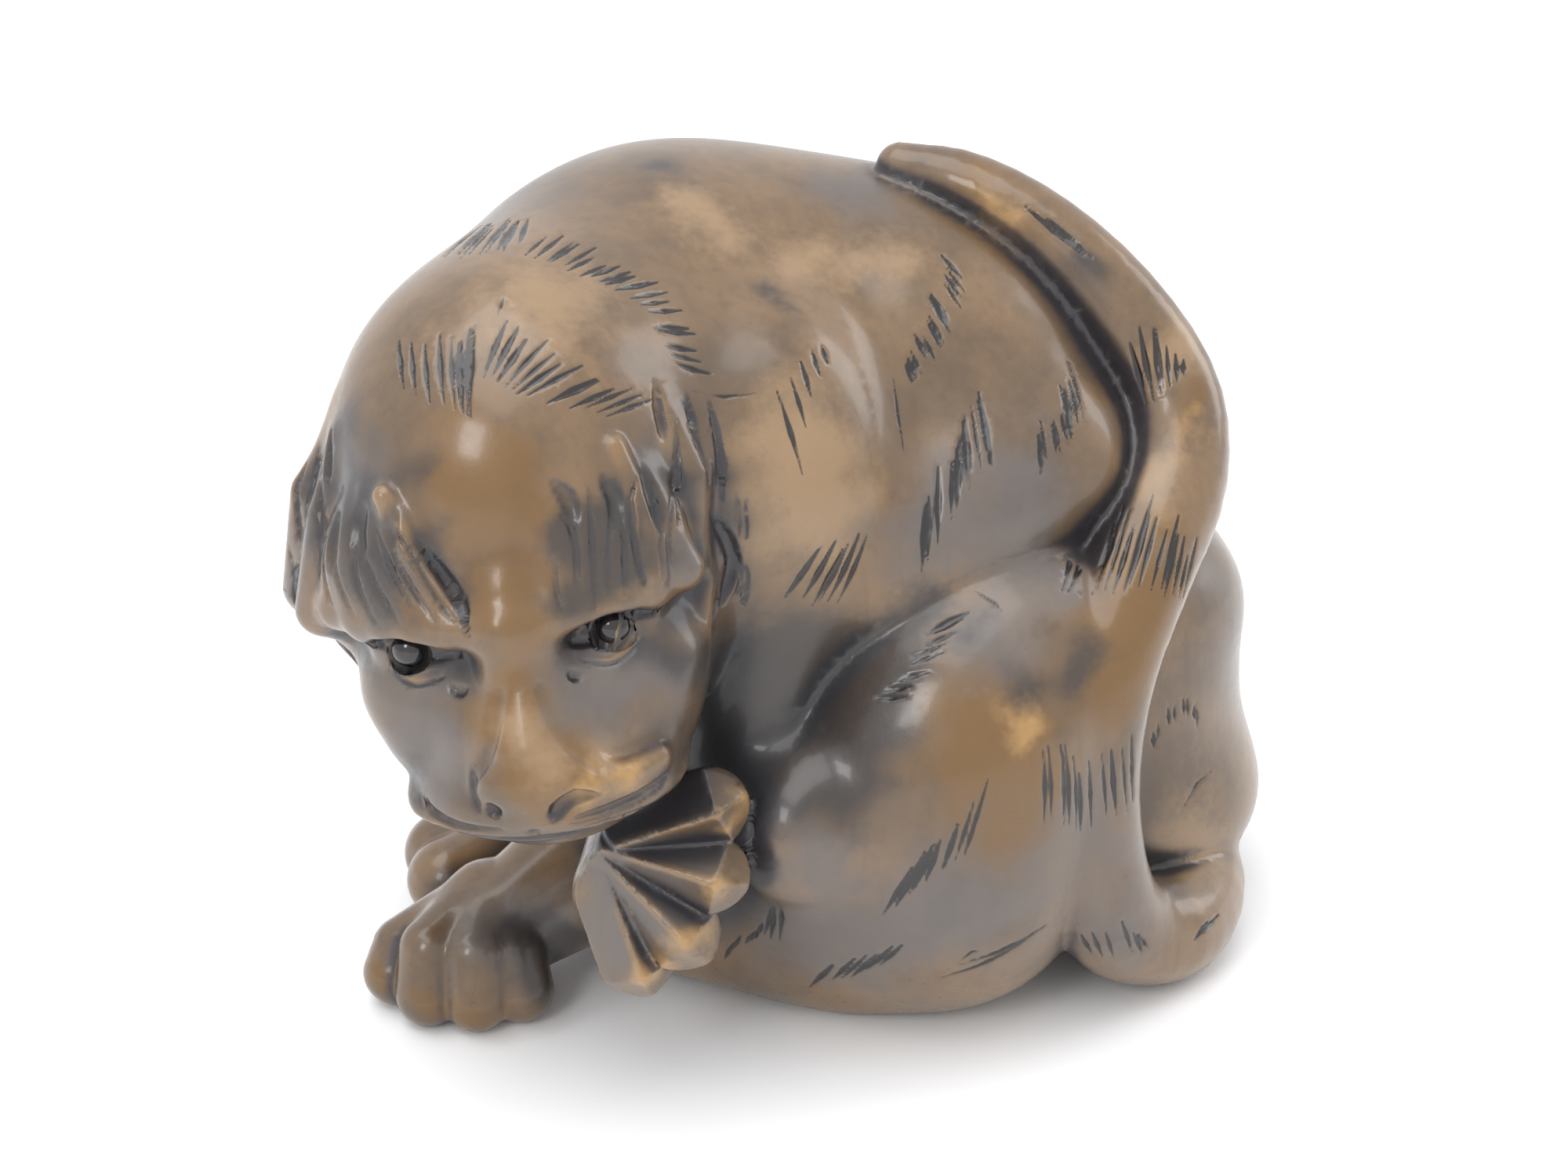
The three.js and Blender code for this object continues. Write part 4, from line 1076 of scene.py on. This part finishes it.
class Finish:
    def __init__(self, name):
        self.material = bpy.data.materials.new(name)
        self.material.use_nodes = True
        self.tree = self.material.node_tree
        self.shader = self.tree.nodes["Principled BSDF"]

    def node(self, kind, settings=None, values=None, out=0):
        made = self.tree.nodes.new(kind)
        for name, value in (settings or {}).items():
            setattr(made, name, value)
        for key, value in (values or {}).items():
            self.plug(made.inputs[key], value)
        return Wire(self, made.outputs[out])

    def plug(self, socket, value):
        if isinstance(value, Wire):
            self.tree.links.new(value.socket, socket)
        else:
            socket.default_value = value

    def set(self, **sockets):
        for name, value in sockets.items():
            self.plug(self.shader.inputs[name.replace("_", " ")], value)

    def kept(self, name):
        return self.node("ShaderNodeAttribute", {"attribute_name": name}, out="Fac")

    def mixed(self, share, a, b):
        return self.node("ShaderNodeMix", {"data_type": "RGBA"}, {0: share, 6: a, 7: b}, out=2)


def colour(code):
    """A colour from its six hex digits, made linear as the shader wants it."""
    parts = [int(code[i:i + 2], 16) / 255 for i in (0, 2, 4)]
    return (*[p / 12.92 if p <= 0.04045 else ((p + 0.055) / 1.055) ** 2.4 for p in parts], 1)


print("mid grey in linear light:", round(colour("808080")[0], 3))

# %% [markdown]
# Boxwood is so dense that its grain hardly shows. What one sees is patina with painted light
# laid on it: a tan ground with warmer clouds, paler spots of rubbed wear and painted
# highlight, a painted grey sheen and shade, blue-black stain and painted shade in the
# hollows, dark spots that are mostly painted shade, rubbed edges that turn honey-coloured,
# gold on rubbed claws with painted glints, and ink in the cuts. They are laid over each
# other in that order. The lacquer-like polish is a coat, duller where the stain and the
# painted shade sit.

# %% Stained boxwood
# The grey colour paints sheen and shade, the blue-black ones paint stain and shade in the hollows and the
# dark spots, and the pale and gold ones are wear with painted highlights and glints.
WOOD_COLOURS = {
    "brown": "5d4b39", "tan": "7d6347", "grain": "58452f", "ochre": "6f5027", "pale": "9d8161",
    "grey_sheen_and_shade": "5e5b5b", "stain_and_shade": "232228", "dark": "2b2a2c", "honey": "a07c4e", "gold": "b48c55",
    "ink": "131216",
}


def stained_boxwood():
    wood = Finish("stained_boxwood")
    here = wood.node("ShaderNodeTexCoord", out="Object")
    here = wood.node("ShaderNodeVectorMath", {"operation": "SCALE"}, {0: here, "Scale": 1 / MM})

    def cloud(scale, detail=3, stretch=(1, 1, 1)):
        at = wood.node("ShaderNodeMapping", values={"Vector": here, "Scale": stretch})
        return wood.node("ShaderNodeTexNoise", values={"Vector": at, "Scale": scale, "Detail": detail})

    broad, middling, fine = cloud(0.16), cloud(0.55, 4), cloud(2.6, 4)
    grain = cloud(1.6, 5, (1.0, 1.0, 0.12))
    pores = cloud(9, 2, (1.0, 1.0, 0.25))
    ruffle = (middling - 0.5) * 0.9 + (fine - 0.5) * 0.5

    def laid_over(body, share, name):
        return wood.mixed(share, body, colour(WOOD_COLOURS[name]))

    def cover(name, uneven=0.9, low=0.1, high=1.1):
        return (wood.kept(name) + ruffle * uneven).between(low, high)

    clouds = (broad + ruffle * 0.35).between(0.3, 0.7)
    body = wood.mixed(clouds, colour(WOOD_COLOURS["brown"]), colour(WOOD_COLOURS["tan"]))
    body = laid_over(body, (grain + ruffle * 0.3).between(0.45, 0.75) * 0.35, "grain")
    body = laid_over(body, cover("ochre") * 0.9, "ochre")
    # Paler spots: rubbed wear and painted highlight.
    body = laid_over(body, cover("pale") * 0.7, "pale")
    # Grey spots of painted sheen and painted shade.
    grey_sheen_and_shade = cover("grey_sheen_and_shade")
    body = laid_over(body, grey_sheen_and_shade * 0.7, "grey_sheen_and_shade")
    # The stain and painted shade thin out under the pale spots and the grey spots of painted sheen.
    wear_and_painted_light = wood.kept("pale") * 0.2 + wood.kept("grey_sheen_and_shade") * 0.12
    # The hollows darken: stain, and painted shade where the wood closes round.
    stain_and_shade = (wood.kept("hollow") + ruffle * 0.2 - wear_and_painted_light).between(0.06, 0.44)
    body = laid_over(body, stain_and_shade * 0.93, "stain_and_shade")
    # Dark spots: mostly painted shade, with a few small dark marks.
    body = laid_over(body, cover("dark") * 0.8, "dark")
    # Where neither the stain nor the painted shade lies.
    free_of_stain_and_shade = 1 - stain_and_shade * 0.8
    edge = (wood.kept("ridge") + ruffle * 0.2).between(0.3, 0.75)
    body = laid_over(body, edge * free_of_stain_and_shade * 0.5, "honey")
    # Gold on rubbed claws and edges, with painted glints.
    body = laid_over(body, cover("gold", 1.2, 0.2, 1.2) * free_of_stain_and_shade * 0.75, "gold")
    body = laid_over(body, wood.kept("ink").between(-0.02, 0.03) * 0.92, "ink")

    dull = 0.3 + (fine - 0.5) * 0.16 + stain_and_shade * 0.16 + grey_sheen_and_shade * 0.06
    relief = (middling - 0.5) * 0.5 + (fine - 0.5) * 0.35 + (pores - 0.5) * 0.12
    bumps = wood.node("ShaderNodeBump", values={"Height": relief, "Strength": 0.25, "Distance": 0.08 * MM})
    wood.set(Base_Color=body, Roughness=dull, Normal=bumps)
    wood.set(Coat_Weight=0.35, Coat_Roughness=0.12, IOR=1.5)
    return wood.material


carved_tiger.data.materials.clear()
carved_tiger.data.materials.append(stained_boxwood())
for polygon in carved_tiger.data.polygons:
    polygon.use_smooth = True
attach(carved_tiger, "root")
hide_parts("tiger_body")
print("nodes in the boxwood finish:", len(carved_tiger.data.materials[0].node_tree.nodes))

# %% [markdown]
# Each eye is a peg of dark horn, turned round, domed and pushed into a drilled hole. A
# profile spun about its own axis gives the bead, with a fine chamfer where the dome begins.

# %% Horn eyes
EYE_RADIUS = 0.74
EYE_DEPTH = 1.6
EYE_TURN = 0.25


def horn():
    black = Finish("black_horn")
    here = black.node("ShaderNodeTexCoord", out="Object")
    streaks = black.node("ShaderNodeTexNoise", values={"Vector": here, "Scale": 1.5 / MM, "Detail": 3})
    tint = black.mixed(streaks.between(0.45, 0.75), colour("08080b"), colour("2b1f18"))
    black.set(Base_Color=tint, Roughness=0.08 + streaks * 0.08, Coat_Weight=0.6, Coat_Roughness=0.04)
    return black.material


def horn_bead(name, place, finish):
    work = bmesh.new()
    profile = [(0, EYE_DEPTH), (EYE_RADIUS, EYE_DEPTH), (EYE_RADIUS, 0.05)]
    for i in range(9):
        turn = math.radians(90 * i / 8)
        profile.append((0.96 * EYE_RADIUS * math.cos(turn), -0.85 * EYE_RADIUS * math.sin(turn)))
    profile[-1] = (0, profile[-1][1])
    verts = [work.verts.new((x, y, 0)) for x, y in profile]
    edges = [work.edges.new(pair) for pair in zip(verts, verts[1:])]
    bmesh.ops.spin(
        work, geom=verts + edges, cent=(0, 0, 0), axis=(0, 1, 0), angle=math.tau, steps=40, use_merge=True
    )
    bmesh.ops.remove_doubles(work, verts=work.verts, dist=0.001)
    bmesh.ops.recalc_face_normals(work, faces=work.faces)
    to_frame = Matrix.Scale(MM, 4) @ Matrix.Translation(Vector(-MIDDLE))
    bmesh.ops.transform(work, matrix=to_frame @ place, verts=work.verts)
    mesh = bpy.data.meshes.new(name)
    work.to_mesh(mesh)
    work.free()
    for polygon in mesh.polygons:
        polygon.use_smooth = True
    bead = bpy.data.objects.new(name, mesh)
    bpy.context.scene.collection.objects.link(bead)
    mesh.materials.append(finish)
    return bead


black_horn = horn()
for side, word in zip(SIDES, ("right", "left")):
    seat = HEAD @ Matrix.Translation((side * EYE.x, EYE.y, EYE.z))
    seat = seat @ Matrix.Rotation(side * EYE_TURN, 4, "Z")
    bead = horn_bead(f"{word}_horn_eye", seat, black_horn)
    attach(bead, "root")
    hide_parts(f"{word}_eye")
    print(bead.name, "faces:", len(bead.data.polygons))
